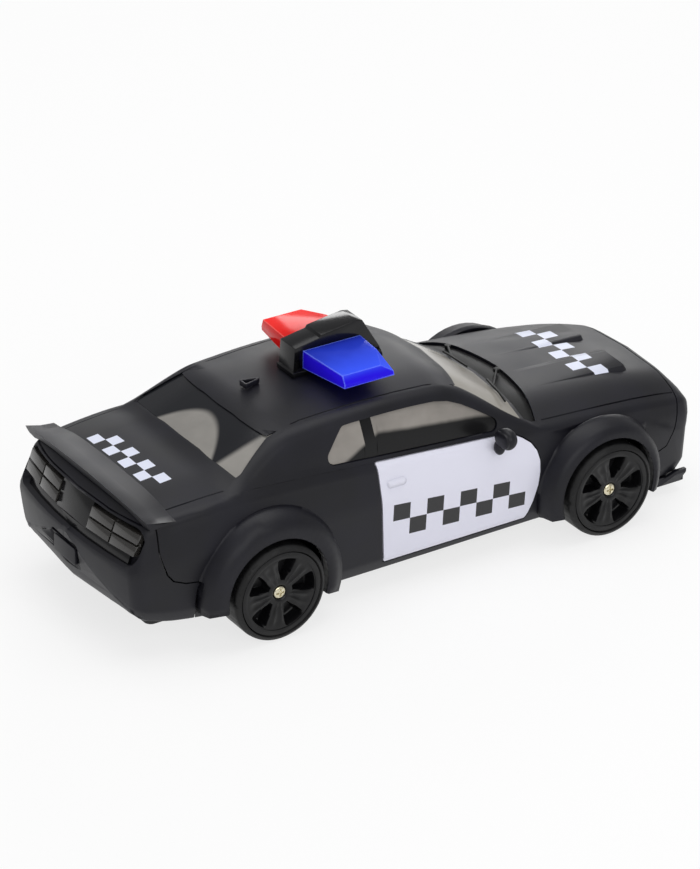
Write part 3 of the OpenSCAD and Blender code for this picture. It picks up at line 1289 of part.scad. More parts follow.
module motor()
  color(steel) difference() {
    union() {
      intersection() {
        across(motor_x, motor_y) cylinder(d = motor_d, h = motor_l, $fn = 64);
        translate([motor_x - motor_d, motor_y - motor_l - over, axle_z - motor_d * motor_flat_share / 2])
          cube([2 * motor_d, motor_l + 2 * over, motor_d * motor_flat_share]);
      }
      across(motor_x, motor_y + motor_boss_h)
        cylinder(d = motor_boss_d, h = motor_boss_h + fit, $fn = 48);
    }
    across(motor_x, motor_y + 2 * motor_boss_h)
      cylinder(d = pin_d + 2 * run_fit, h = motor_shaft_in + 3 * motor_boss_h, $fn = 32);
  }
bush_d = 7;
bush_l = 4;
stand_y = 33;
module axle_bushes()
  color(brass)
    for (e = [-1, 1])
      difference() {
        across(x_rear, e * stand_y + bush_l / 2) cylinder(d = bush_d, h = bush_l, $fn = 48);
        across(x_rear, e * stand_y + bush_l) cylinder(d = bore_d, h = 2 * bush_l, $fn = 48);
      }

// Front knuckles, tie rod, horn, servo and the bridge over the kingpins
knuckle_h = 16;
knuckle_l = 8;
knuckle_in = 3;
arm_low = axle_z + 2.2;
rod_low = arm_low + arm_t + clear;
arm_w = 4.4;
link_pin_d = 2;
link_fit = 0.1;
steer_max = 18;
pin_stub = 2.4;
module knuckle() {
  difference() {
    union() {
      translate([x_front - knuckle_l / 2, kingpin_y - knuckle_in, axle_z - knuckle_h / 2])
        cube([knuckle_l, knuckle_in + knuckle_out, knuckle_h]);
      translate([x_front, kingpin_y, axle_z - knuckle_h / 2 - pin_stub])
        cylinder(d = kingpin_d, h = knuckle_h + 2 * pin_stub, $fn = 32);
      across(x_front, wheel_y - axle_tip)
        cylinder(d = axle_d, h = wheel_y - axle_tip - kingpin_y, $fn = 48);
      translate([x_front, 0, arm_low]) linear_extrude(arm_t) union() {
        translate([-arm_l, kingpin_y - arm_w / 2]) square([arm_l, arm_w]);
        translate([-arm_l, kingpin_y]) circle(d = arm_w, $fn = 32);
      }
      translate([x_front - arm_l, kingpin_y, arm_low])
        cylinder(d = link_pin_d, h = 2 * arm_t + 2 * clear, $fn = 32);
    }
    translate([x_front, wheel_y - axle_tip + over, axle_z]) rotate([90, 0, 0])
      cylinder(d = pilot_d, h = axle_hole_l + over, $fn = 32);
  }
}
module knuckle_left()
  color(black) knuckle();
module knuckle_right()
  color(black) mirror([0, 1, 0]) knuckle();
slot_run = arm_l * (1 - cos(steer_max)) + 2 * link_fit;
module pin_slot(y)
  translate([x_front - arm_l, y]) hull() {
    circle(d = link_pin_d + 2 * link_fit, $fn = 32);
    translate([slot_run, 0]) circle(d = link_pin_d + 2 * link_fit, $fn = 32);
  }
module tie_rod()
  color(nylon) translate([0, 0, rod_low]) linear_extrude(arm_t) difference() {
    translate([x_front - arm_l - arm_w / 2, -kingpin_y - arm_w / 2])
      square([arm_w + slot_run, 2 * kingpin_y + arm_w]);
    for (y = [-kingpin_y, 0, kingpin_y])
      pin_slot(y);
  }
servo_top = arm_low - clear * 2;
servo_back = 5;
module servo()
  color([0.15, 0.2, 0.4]) difference() {
    union() {
      translate([x_front - servo_back, -servo_w / 2, floor_top + fit])
        cube([servo_l, servo_w, servo_top - floor_top - fit]);
      translate([x_front - servo_back - clear * 4, -servo_w / 2, servo_top - arm_t * 2])
        cube([servo_l + clear * 8, servo_w, arm_t * 0.7]);
    }
    translate([x_front, 0, servo_top - arm_t])
      cylinder(d = axle_d + 2 * run_fit, h = 2 * arm_t, $fn = 48);
  }
module servo_horn()
  color(nylon) {
    translate([x_front, 0, servo_top - arm_t + fit])
      cylinder(d = axle_d, h = arm_low - servo_top + arm_t, $fn = 48);
    translate([x_front, 0, arm_low]) linear_extrude(arm_t) union() {
      translate([-arm_l, -arm_w / 2]) square([arm_l, arm_w]);
      translate([-arm_l, 0]) circle(d = arm_w, $fn = 32);
      circle(d = arm_w * 1.3, $fn = 32);
    }
    translate([x_front - arm_l, 0, arm_low])
      cylinder(d = link_pin_d, h = 2 * arm_t + 2 * clear, $fn = 32);
  }
eye_d = 6;
bar_w = 7;
bar_t = 2.4;
bar_low = axle_z + knuckle_h / 2 + clear;
pillar_y = 24;
module kingpin_bar()
  color(black) translate([0, 0, bar_low]) linear_extrude(bar_t) difference() {
    union() {
      translate([x_front - bar_w / 2, -kingpin_y]) square([bar_w, 2 * kingpin_y]);
      for (e = [-1, 1])
        translate([x_front, e * kingpin_y]) circle(d = eye_d, $fn = 40);
    }
    for (e = [-1, 1]) {
      translate([x_front, e * kingpin_y]) circle(d = kingpin_d + 2 * run_fit, $fn = 32);
      translate([x_front, e * pillar_y]) circle(d = pilot_d + 2 * clear, $fn = 32);
    }
  }
small_head_d = 4;
small_head_h = 1.2;
module small_screw(up)
  rotate([up > 0 ? 0 : 180, 0, 0]) {
    difference() {
      cylinder(d = small_head_d, h = small_head_h, $fn = 32);
      cross(small_head_d, small_head_h);
    }
    translate([0, 0, -screw_l + over]) cylinder(d = screw_d, h = screw_l - over + fit, $fn = 24);
  }

// Floor pan with its stands, cradles and openings
floor_mid_w = 85;
floor_spine_w = 62;
floor_end_w = 68;
floor_x_share = 0.8714;
floor_x = hl * floor_x_share;
pad_x = 40;
pad_l = 22;
pad_w = 28;
pad_t = 2;
floor_r = 3;
side_gap = 3;
cover_l = pack_l + 8;
cover_w = pack_w + 6;
cover_ledge = 1.6;
cover_tab = 7;
pack_x = -5;
cover_gap = 0.3;
switch_x = 4;
switch_y = 30;
knob_l = 5;
knob_w = 3.2;
board_x = 48;
board_z = 18;
stand_l = 10;
stand_t = 5;
module floor_outline() {
  xm = wheelbase / 2 - well_d / 2 - side_gap;
  offset(r = floor_r, $fn = 32) offset(delta = -floor_r) {
    translate([axle_mid_x - xm, -floor_mid_w / 2]) square([2 * xm, floor_mid_w]);
    translate([-floor_x, -floor_spine_w / 2]) square([2 * floor_x, floor_spine_w]);
    translate([-floor_x, -floor_end_w / 2])
      square([floor_x + x_rear - well_d / 2 - side_gap, floor_end_w]);
    translate([x_front + well_d / 2 + side_gap, -floor_end_w / 2])
      square([floor_x - x_front - well_d / 2 - side_gap, floor_end_w]);
  }
}
module chassis()
  color(black) difference() {
    union() {
      translate([0, 0, floor_z]) linear_extrude(floor_t) floor_outline();
      translate([pad_x, -pad_w / 2, floor_z - pad_t]) cube([pad_l, pad_w, pad_t + fit]);
      for (e = [-1, 1])
        translate([x_rear - stand_l / 2, e * stand_y - stand_t / 2, floor_top - fit])
          cube([stand_l, stand_t, axle_z + stand_l / 2 - floor_top + fit]);
      for (e = [-1, 1])
        translate([x_front, e * pillar_y, floor_top - fit])
          cylinder(d = bar_w, h = bar_low - floor_top, $fn = 32);
      for (e = [-1, 1])
        translate([x_front, e * kingpin_y, axle_z - knuckle_h / 2 - clear - bar_t])
          linear_extrude(bar_t) union() {
            circle(d = eye_d, $fn = 40);
            translate([-bar_w / 2, e > 0 ? -(kingpin_y - floor_spine_w / 2 + floor_r * 2) : 0])
              square([bar_w, kingpin_y - floor_spine_w / 2 + floor_r * 2]);
          }
      for (e = [-1, 1], f = [-1, 1])
        translate([board_x + e * board_l * 0.4, f * board_w * 0.4, floor_top - fit])
          cylinder(d = post_d * 0.7, h = board_z - floor_top, $fn = 24);
      for (k = [0.25, 0.75])
        translate([motor_x - motor_d * 0.35, motor_y - motor_l * k - case_t, floor_top - fit])
          cube([motor_d * 0.7, 2 * case_t, axle_z - motor_d * motor_flat_share / 2 - floor_top]);
      translate([pack_x + cover_l / 2 + cover_tab / 2, 0, floor_top - fit])
        cylinder(d = post_d, h = screw_l, $fn = 32);
      for (e = [-1, 1])
        translate([pack_x - pack_l / 2 - cover_gap * 5, e * (pack_w / 2 + cover_gap * 2) - (e < 0
          ? case_t : 0), floor_top - fit])
          cube([pack_l * 0.3, case_t, pack_h * 0.6]);
    }
    across(x_rear, stand_y * 2) cylinder(d = bush_d + 2 * run_fit, h = stand_y * 4, $fn = 48);
    for (e = [-1, 1]) {
      translate([x_front, e * kingpin_y, floor_z - over])
        cylinder(d = kingpin_d + 2 * run_fit, h = axle_z, $fn = 32);
      translate([x_front, e * pillar_y, bar_low - screw_l])
        cylinder(d = pilot_d, h = screw_l + over, $fn = 24);
    }
    for (sx = [-1, 1], sy = [-1, 1])
      translate([sx * post_x, sy * post_y, floor_z - over]) {
        cylinder(d = pilot_d + 2 * clear, h = floor_t + 2 * over, $fn = 24);
        cylinder(d = small_head_d + 2 * clear, h = over + small_head_h + fit, $fn = 32);
      }
    translate([pack_x - cover_l / 2, -cover_w / 2, floor_z - over])
      cube([cover_l + cover_tab, cover_w, cover_t + fit + over]);
    translate([pack_x - cover_l / 2 + cover_ledge, -cover_w / 2 + cover_ledge, floor_z - over])
      cube([cover_l - 2 * cover_ledge, cover_w - 2 * cover_ledge, floor_t + 2 * over]);
    translate([pack_x + cover_l / 2 + cover_tab / 2, 0, floor_z])
      cylinder(d = pilot_d, h = screw_l + floor_t - over, $fn = 24);
    translate([switch_x - knob_l / 2 - switch_travel / 2 - clear, switch_y - knob_w / 2 - clear,
      floor_z - over])
      cube([knob_l + switch_travel + 2 * clear, knob_w + 2 * clear, floor_t + 2 * over]);
  }
module small_screws()
  color(steel) {
    for (e = [-1, 1])
      translate([x_front, e * pillar_y, bar_low + bar_t + fit]) small_screw(1);
    for (sx = [-1, 1], sy = [-1, 1])
      translate([sx * post_x, sy * post_y, floor_z + small_head_h]) small_screw(-1);
    translate([pack_x + cover_l / 2 + cover_tab / 2, 0, floor_z - fit]) small_screw(-1);
  }
module battery_pack()
  color([0.2, 0.45, 0.75])
    translate([pack_x - pack_l / 2, -pack_w / 2, floor_z + cover_t + 2 * fit]) difference() {
      cube([pack_l, pack_w, pack_h]);
      for (k = [1:3])
        translate([-over, pack_w * k / 4, pack_h]) rotate([0, 90, 0])
          cylinder(d = pack_w * 0.06, h = pack_l + 2 * over, $fn = 16);
    }
module battery_cover()
  color(black) difference() {
    translate([pack_x - cover_l / 2 + cover_gap, -cover_w / 2 + cover_gap, floor_z])
      cube([cover_l + cover_tab - 2 * cover_gap, cover_w - 2 * cover_gap, cover_t]);
    translate([pack_x + cover_l / 2 + cover_tab / 2, 0, floor_z - over])
      cylinder(d = pilot_d + 2 * clear, h = cover_t + 2 * over, $fn = 24);
    for (k = [-2:2])
      translate([pack_x + k * cover_l / 8 - cover_t / 2, -cover_w * 0.3, floor_z - over])
        cube([cover_t, cover_w * 0.6, over + cover_t * 0.4]);
  }
module circuit_board()
  color(board_green) translate([board_x, 0, board_z]) {
    translate([-board_l / 2, -board_w / 2, 0]) cube([board_l, board_w, board_t]);
    translate([-board_l * 0.2, -board_w * 0.2, board_t - fit])
      cube([board_l * 0.34, board_w * 0.3, board_t]);
    translate([board_l * 0.28, board_w * 0.3, board_t - fit])
      cylinder(d = board_l * 0.18, h = board_t * 4, $fn = 32);
    translate([-board_l * 0.4, board_w * 0.18, board_t - fit])
      cube([board_l * 0.2, board_w * 0.26, board_t * 2.4]);
  }
switch_h = 5;
module switch_body()
  color(grey) difference() {
    translate([switch_x - knob_l - switch_travel / 2, switch_y - knob_w, floor_top + fit])
      cube([2 * knob_l + switch_travel, 2 * knob_w, switch_h]);
    translate([switch_x - knob_l / 2 - switch_travel / 2 - clear, switch_y - knob_w / 2 - clear, floor_top])
      cube([knob_l + switch_travel + 2 * clear, knob_w + 2 * clear, switch_h * 0.5]);
  }
module switch_knob()
  color([0.75, 0.1, 0.1])
    translate([switch_x - switch_travel / 2 - knob_l / 2, switch_y - knob_w / 2, floor_z - knob_proud])
      cube([knob_l, knob_w, knob_proud + floor_t + switch_h * 0.3]);
knob_proud = 1.2;

body_shell();
front_bumper();
grille();
headlamp_left();
headlamp_right();
rear_bumper();
number_plate();
tail_lens_left();
tail_lens_right();
tail_panel();
boot_lip();
windscreen();
rear_window();
side_window_left();
side_window_right();
door_left();
door_right();
mirror_left();
mirror_right();
cowl();
wiper_left();
wiper_right();
lightbar_bridge();
lens_red();
lens_blue();
lamp_board();
aerial();
rim_front_left();
rim_front_right();
rim_rear_left();
rim_rear_right();
tyre_front_left();
tyre_front_right();
tyre_rear_left();
tyre_rear_right();
screw_front_left();
screw_front_right();
screws_rear();
rear_axle();
axle_gear();
idler_gear();
pinion();
gear_case();
gear_lid();
idler_pin();
motor();
axle_bushes();
knuckle_left();
knuckle_right();
tie_rod();
servo();
servo_horn();
kingpin_bar();
chassis();
small_screws();
battery_pack();
battery_cover();
circuit_board();
switch_body();
switch_knob();
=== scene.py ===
# %% [markdown]
# # A toy police coupe, dressed piece by piece
# The frame holds the imported solids of a radio-controlled toy car in metres, with the nose along +X and
# the ground at Z zero. This lesson keeps every solid where it is, gives each a finer copy or a new piece
# modelled on top of it, and then paints and lights the car and sets up the camera to photograph it.

# %% Start from the imported frame
import json
import math

import bmesh
import bpy
from mathutils import Matrix, Vector
from mathutils.bvhtree import BVHTree

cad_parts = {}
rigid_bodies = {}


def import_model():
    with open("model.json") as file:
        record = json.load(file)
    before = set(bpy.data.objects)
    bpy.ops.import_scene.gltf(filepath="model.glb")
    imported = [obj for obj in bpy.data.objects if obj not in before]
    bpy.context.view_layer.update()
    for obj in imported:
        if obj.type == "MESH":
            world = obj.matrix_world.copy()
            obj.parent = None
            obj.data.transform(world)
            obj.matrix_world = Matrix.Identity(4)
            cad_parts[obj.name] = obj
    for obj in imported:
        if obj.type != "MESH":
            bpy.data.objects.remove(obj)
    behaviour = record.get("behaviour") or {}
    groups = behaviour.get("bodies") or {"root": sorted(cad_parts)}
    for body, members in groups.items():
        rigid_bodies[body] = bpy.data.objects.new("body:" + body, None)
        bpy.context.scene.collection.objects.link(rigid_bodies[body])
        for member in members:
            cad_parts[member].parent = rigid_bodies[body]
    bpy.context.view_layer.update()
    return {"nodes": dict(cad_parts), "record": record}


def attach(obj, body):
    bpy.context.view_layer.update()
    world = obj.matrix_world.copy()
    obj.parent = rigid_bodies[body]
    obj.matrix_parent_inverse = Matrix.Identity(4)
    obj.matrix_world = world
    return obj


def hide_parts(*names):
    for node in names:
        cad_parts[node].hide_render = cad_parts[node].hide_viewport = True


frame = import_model()
body_of_node = {n: b for b, ns in frame["record"]["behaviour"]["bodies"].items() for n in ns}
MM = 0.001

# %% [markdown]
# The camera comes first, because every later choice is judged from it. Its place, turn and lens repeat
# the way the picture of the real toy was taken: from behind the right rear wheel, a little above, with a
# long lens, so that parallel lines hardly close in.

# %% Camera
EYE = (-807.68, -1199.0, 810.13)
LOOK = (0.48699, 0.73704, -0.46863)
RIGHT = (0.83854, -0.54464, 0.01481)
UP = (0.24432, 0.40017, 0.88327)
LENS_MM, SENSOR_MM, SHIFT_X = 166.23, 36, 0.0222
NEAREST_M, FARTHEST_M = 0.05, 20

camera = bpy.data.objects.new("photo_camera", bpy.data.cameras.new("photo_camera"))
bpy.context.scene.collection.objects.link(camera)
camera.data.sensor_width = SENSOR_MM
camera.data.lens = LENS_MM
camera.data.shift_x = SHIFT_X
camera.data.clip_start, camera.data.clip_end = NEAREST_M, FARTHEST_M
turn = Matrix((RIGHT, UP, [-v for v in LOOK])).transposed()
camera.matrix_world = Matrix.Translation(Vector(EYE) * MM) @ turn.to_4x4()
bpy.context.scene.camera = camera
print("camera", round((Vector(EYE) * MM).length, 3), "m from the middle of the car")

# %% [markdown]
# A surface is described by a small net of nodes. One helper adds a node, sets its properties and fills
# its inputs, each with a number, a colour or what another node gives. Colours are written as the eye
# knows them, in sRGB hex, and turned into the linear numbers that a renderer adds up.

# %% Helpers for finishes
MIX_SHARE, MIX_UNDER, MIX_OVER, MIXED = 0, 6, 7, 2


def to_linear(code):
    parts = [int(code[i:i + 2], 16) / 255 for i in (1, 3, 5)]
    return tuple(p / 12.92 if p <= 0.04045 else ((p + 0.055) / 1.055) ** 2.4 for p in parts) + (1.0,)


def put(finish, kind, inputs=(), **settings):
    node = finish.node_tree.nodes.new("ShaderNode" + kind)
    for name, value in settings.items():
        setattr(node, name, value)
    for key, value in inputs.items() if isinstance(inputs, dict) else enumerate(inputs):
        if isinstance(value, bpy.types.Node):
            value = value, 0
        if isinstance(value, tuple) and isinstance(value[0], bpy.types.Node):
            finish.node_tree.links.new(value[0].outputs[value[1]], node.inputs[key])
        else:
            node.inputs[key].default_value = value
    return node


def new_finish(name):
    finish = bpy.data.materials.new(name)
    finish.use_nodes = True
    finish.node_tree.nodes.clear()
    return finish


def per_mm(size_mm):
    return 1 / (size_mm * MM)


def place_mm(finish, place):
    parts = put(finish, "SeparateXYZ", [(place, "Object")])
    return [put(finish, "Math", [(parts, axis), MM], operation="DIVIDE") for axis in "XYZ"]


print("a mid grey adds up as", round(to_linear("#808080")[0], 3))

# %% [markdown]
# Most of this toy is moulded plastic. The mould is polished or spark eroded, so the surface is a faint
# grain over slow, hardly visible drifts of shade and gloss. One recipe makes all the moulded finishes:
# two close shades mixed by a slow cloud that drifts the gloss too, and a fine grain as bump.

# %% Moulded plastic
SHADE_SPAN, GLOSS_SPAN, GRAIN_DEEP = (0.35, 0.65), (0.3, 0.7), 0.05


def moulded(name, dark, light, rough, grain_mm, grain, cloud_mm=22, settings=None, marks=None):
    finish = new_finish(name)
    place = put(finish, "TexCoord")
    cloud = put(finish, "TexNoise", {"Vector": (place, "Object"), "Scale": per_mm(cloud_mm),
                                     "Detail": 4.0})
    shades = put(finish, "ValToRGB", [cloud])
    for stop, spot, code in zip(shades.color_ramp.elements, SHADE_SPAN, (dark, light)):
        stop.position, stop.color = spot, to_linear(code)
    gloss = put(finish, "MapRange", [cloud, *GLOSS_SPAN, *rough])
    fine = put(finish, "TexNoise", {"Vector": (place, "Object"), "Scale": per_mm(grain_mm),
                                    "Detail": 2.0})
    bump = put(finish, "Bump", {"Strength": grain, "Distance": GRAIN_DEEP * MM, "Height": fine})
    colour = shades, 0
    if marks:
        printed = put(finish, "Mix", {MIX_SHARE: marks[0](finish, place), MIX_UNDER: shades,
                                      MIX_OVER: to_linear(marks[1])}, data_type="RGBA")
        colour = printed, MIXED
    shader = put(finish, "BsdfPrincipled", {"Base Color": colour, "Roughness": gloss, "Normal": bump,
                                            **(settings or {})})
    put(finish, "OutputMaterial", [shader])
    return finish


finishes = {}
SATIN = {"Specular IOR Level": 0.3}
MILKY = {"Subsurface Weight": 0.1, "Subsurface Radius": (0.001, 0.001, 0.0008)}
# Satin ABS from a lightly etched mould: soft broad highlights; the grain is drawn coarse enough to show
finishes["body_black"] = moulded("satin_black_abs", "#0f0f15", "#14141d", (0.4, 0.48), 0.5, 0.1, 22, SATIN)
# Gloss ABS from a polished mould: crisp reflections with a slow ripple
finishes["gloss_black"] = moulded("gloss_black_abs", "#0a0a0c", "#0f0f12", (0.12, 0.2), 3.0, 0.05, 22,
                                  SATIN)
# Matte ABS of the thin wiper mouldings: dark, with hardly a highlight
finishes["wiper_black"] = moulded("matte_black_abs", "#0a0a0b", "#0f0f10", (0.5, 0.6), 0.5, 0.15, 22, SATIN)
# Satin ABS of the wheels: smoother than the body, so the spokes catch narrower lights
finishes["rim_black"] = moulded("satin_black_wheel_abs", "#08080a", "#0d0d0f", (0.28, 0.36), 0.6, 0.06, 22,
                                SATIN)
# Coarse-grained ABS of the floor under the car: dull and faintly speckled
finishes["chassis_black"] = moulded("grained_black_abs", "#131314", "#1e1e20", (0.55, 0.7), 0.7, 0.35)
# Soft PVC of the tyres: dull, slightly greyed
finishes["tyre_rubber"] = moulded("soft_pvc_tyre", "#0c0c0d", "#121213", (0.46, 0.56), 0.6, 0.15, 12, SATIN)
# Natural nylon of gears and steering pieces: milky, as light sinks in a little
finishes["nylon"] = moulded("natural_nylon", "#dcdace", "#e9e7dc", (0.4, 0.5), 0.8, 0.15, 14, MILKY)
# Moulded nylon case of the servo: even blue with a soft shine
finishes["servo_blue"] = moulded("moulded_blue_case", "#1b2f6a", "#203878", (0.35, 0.45), 0.6, 0.15)
# PVC shrink wrap round the battery cells: glossy, with the slow waves of the shrinking
finishes["wrap_blue"] = moulded("blue_shrink_wrap", "#1f4f93", "#2a61ad", (0.15, 0.28), 4.0, 0.2, 9)
# Moulded ABS of the switch knob: plain red with a soft shine
finishes["switch_red"] = moulded("moulded_red_knob", "#9b1714", "#b32220", (0.3, 0.4), 0.6, 0.1)
# Solder mask on glass fibre board: green lacquer that shows the weave below as a slow unevenness
finishes["board_green"] = moulded("green_solder_mask", "#12552a", "#186a35", (0.25, 0.4), 1.2, 0.25, 5)
print(len(finishes), "moulded finishes")

# %% [markdown]
# The doors, the bonnet and the boot carry plain two-row check bands, as pad printing leaves them: flat,
# with crisp borders and the gloss of the plastic below. A check is worked out from the place of a point:
# count squares along the band and across it, and paint where the sum of both counts is odd.

# %% Printed check bands
BAND_COLUMNS, BAND_ROWS = 8, 2
DOOR_BAND_X = (-17, 48)
DOOR_BAND_LOW, DOOR_BAND_HIGH = (23.3, 19.6), (38.5, 32.3)
BOOT_BAND_X, BONNET_BAND_X, BAND_HALF_Y = (-115.5, -105), (92.5, 106.6), 24
BAND_FLOOR_Z = 40


def check_band(finish, along, across):
    counts = [put(finish, "Math", [value], operation="FLOOR") for value in (along, across)]
    odd = put(finish, "Math", [put(finish, "Math", counts, operation="ADD"), 2], operation="MODULO")
    for value, top in ((along, BAND_COLUMNS), (across, BAND_ROWS)):
        for test, limit in (("GREATER_THAN", 0), ("LESS_THAN", top)):
            inside = put(finish, "Math", [value, limit], operation=test)
            odd = put(finish, "Math", [odd, inside], operation="MULTIPLY")
    return odd


def door_band(finish, place):
    x, _, z = place_mm(finish, place)
    share = put(finish, "MapRange", [x, *DOOR_BAND_X, 0, 1], clamp=False)
    low, high = (put(finish, "MapRange", [share, 0, 1, *ends], clamp=False)
                 for ends in (DOOR_BAND_LOW, DOOR_BAND_HIGH))
    along = put(finish, "Math", [share, BAND_COLUMNS], operation="MULTIPLY")
    across = put(finish, "MapRange", [z, low, high, 0, BAND_ROWS], clamp=False)
    return check_band(finish, along, across)


def deck_bands(finish, place):
    x, y, z = place_mm(finish, place)
    along = put(finish, "MapRange", [y, -BAND_HALF_Y, BAND_HALF_Y, 0, BAND_COLUMNS], clamp=False)
    bands = [check_band(finish, along, put(finish, "MapRange", [x, *ends, 0, BAND_ROWS], clamp=False))
             for ends in (BOOT_BAND_X, BONNET_BAND_X)]
    above = put(finish, "Math", [z, BAND_FLOOR_Z], operation="GREATER_THAN")
    return put(finish, "Math", [put(finish, "Math", bands, operation="MAXIMUM"), above],
               operation="MULTIPLY")


# White gloss ABS of the door panels: bright and even, with the printed band in black
finishes["door_white"] = moulded("white_gloss_abs", "#e0e0ee", "#e1e1ef", (0.25, 0.26), 0.8, 0.03, 40,
                                 None, (door_band, "#17171a"))
# The body's satin ABS again, with the printed bands in white
finishes["shell_black"] = moulded("satin_black_abs_printed", "#0f0f15", "#14141d", (0.4, 0.48), 0.5, 0.1,
                                  22, SATIN, (deck_bands, "#d8dcec"))
print("bands of", BAND_COLUMNS, "by", BAND_ROWS, "squares")

# %% [markdown]
# The lamps in the nose and the lenses in the tail are polycarbonate. Such a piece lets light through and
# tints it on the way, and its moulded skin is never quite even, so the gloss drifts and ripples a little.

# %% Clear and tinted plastic
RIPPLE_MM, RIPPLE_DEEP, GLOSS_DRIFT, POLYCARBONATE_IOR = 9, 0.1, 0.3, 1.58


def tinted(name, colour, rough, through, ripple):
    finish = new_finish(name)
    place = put(finish, "TexCoord")
    wave = put(finish, "TexNoise", {"Vector": (place, "Object"), "Scale": per_mm(RIPPLE_MM),
                                    "Detail": 1.0})
    gloss = put(finish, "MapRange", [wave, 0, 1, rough * (1 - GLOSS_DRIFT), rough * (1 + GLOSS_DRIFT)])
    bump = put(finish, "Bump", {"Strength": ripple, "Distance": RIPPLE_DEEP * MM, "Height": wave})
    shader = put(finish, "BsdfPrincipled", {"Base Color": to_linear(colour), "Roughness": gloss,
                                            "Transmission Weight": through, "IOR": POLYCARBONATE_IOR,
                                            "Normal": bump})
    put(finish, "OutputMaterial", [shader])
    return finish


# Clear polycarbonate of the nose lamps: bright, glassy, with a sparkle at the edges
finishes["clear_lamp"] = tinted("clear_polycarbonate", "#e8ebf0", 0.06, 0.85, 0.05)
# Smoked polycarbonate of the tail lenses: nearly black, only its gloss shows
finishes["smoke_lens"] = tinted("smoked_polycarbonate", "#2f2d2b", 0.1, 0.25, 0.1)
print("clear plastics ready")

# %% [markdown]
# The light bar's covers get a painted glow, standing for small lamps inside them that light the plastic
# most where it is thin, near the outer end. So the colour runs from deep by the bridge to bright at the
# tip, and a little of it is given off as light by the cover itself. Upright walls are painted deeper, as
# shade for being seen through more plastic, and a painted highlight, a pale line, follows each edge,
# where light gathers in the edges of clear plastic.

# %% Covers with a painted glow
COVER_GLOW_SPAN, COVER_DRIFT, COVER_CLOUD_MM = (6, 38), 10.0, 14
UPRIGHT_SHADE_SPAN, EDGE_MM, EDGE_SAMPLES, EDGE_HIGHLIGHT_SPAN, EDGE_HIGHLIGHT_SHARE = (0.35, 0.75), 1.0, 6, (0.0, 0.12), 0.7
COVER_ROUGH, COVER_THROUGH, COVER_SHINE, CLEAR_IOR = (0.08, 0.16), 0.03, 0.04, 1.5


def cover(name, deep, bright, side, rim, glow):
    finish = new_finish(name)
    place = put(finish, "TexCoord")
    wave = put(finish, "TexNoise", {"Vector": (place, "Object"), "Scale": per_mm(COVER_CLOUD_MM),
                                    "Detail": 2.0})
    out = put(finish, "Math", [place_mm(finish, place)[1]], operation="ABSOLUTE")
    # Painted glow: brighter towards the outer tip, as if lit from inside
    reach = put(finish, "Math", [wave, COVER_DRIFT, out], operation="MULTIPLY_ADD")
    share = put(finish, "MapRange", [reach, *COVER_GLOW_SPAN], interpolation_type="SMOOTHSTEP")
    # Painted shade: upright walls take the deeper side colour, standing for more plastic seen through
    flat = put(finish, "NewGeometry")
    facing = put(finish, "SeparateXYZ", [(flat, "Normal")])
    lean = put(finish, "Math", [1.0, (facing, "Z")], operation="SUBTRACT")
    upright_shade = put(finish, "MapRange", [lean, *UPRIGHT_SHADE_SPAN], interpolation_type="SMOOTHSTEP")
    # Painted highlight: a pale line along each edge, where the Bevel node's rounded normal turns away
    eased = put(finish, "Bevel", {"Radius": EDGE_MM * MM}, samples=EDGE_SAMPLES)
    same = put(finish, "VectorMath", [(flat, "Normal"), eased], operation="DOT_PRODUCT")
    bent = put(finish, "Math", [1.0, (same, "Value")], operation="SUBTRACT")
    edge = put(finish, "MapRange", [bent, *EDGE_HIGHLIGHT_SPAN], interpolation_type="SMOOTHSTEP")
    edge = put(finish, "Math", [edge, EDGE_HIGHLIGHT_SHARE], operation="MULTIPLY")
    # Mixed in turn: the painted glow, the painted shade of upright walls, the painted edge highlight
    colour = to_linear(deep)
    for part, tone in ((share, bright), (upright_shade, side), (edge, rim)):
        colour = put(finish, "Mix", {MIX_SHARE: part, MIX_UNDER: colour, MIX_OVER: to_linear(tone)},
                     data_type="RGBA"), MIXED
    gloss = put(finish, "MapRange", [wave, 0, 1, *COVER_ROUGH])
    # Painted glow: the cover itself gives off light, most towards the tip
    strength = put(finish, "Math", [share, glow, glow / 2], operation="MULTIPLY_ADD")
    shader = put(finish, "BsdfPrincipled", {"Base Color": colour, "Roughness": gloss, "IOR": CLEAR_IOR,
                                            "Transmission Weight": COVER_THROUGH,
                                            "Specular IOR Level": COVER_SHINE,
                                            "Emission Color": colour, "Emission Strength": strength})
    put(finish, "OutputMaterial", [shader])
    return finish


# Clear red polycarbonate: a painted red glow for a lamp behind it, with a painted pale highlight along the
# edges
finishes["lens_red"] = cover("clear_red_polycarbonate_painted_glow", "#c01210", "#e82420", "#d80c0c", "#ff8078", 0.14)
# Clear blue polycarbonate: painted violet shade on the walls, a painted glow on top, painted pale blue edge
# highlights
finishes["lens_blue"] = cover("clear_blue_polycarbonate_painted_glow", "#1c2a9c", "#3550e0", "#2412d0", "#8098ff", 0.18)
print("glowing covers ready")

# %% [markdown]
# The panes are thin smoked plastic over a dark, empty cabin; their dark colour is that smoked plastic with
# the cabin's shade painted in. Light from the far side shines through in places, and it is painted into
# the colour as pale areas with soft borders. Each pane gets its own map of them, drawn from the place of a
# point on the car, under one clear gloss.

# %% Smoked panes with painted light
PANE_CLOUD_MM, PANE_ROUGH, PANE_SHINE = 16, (0.18, 0.26), 0.2


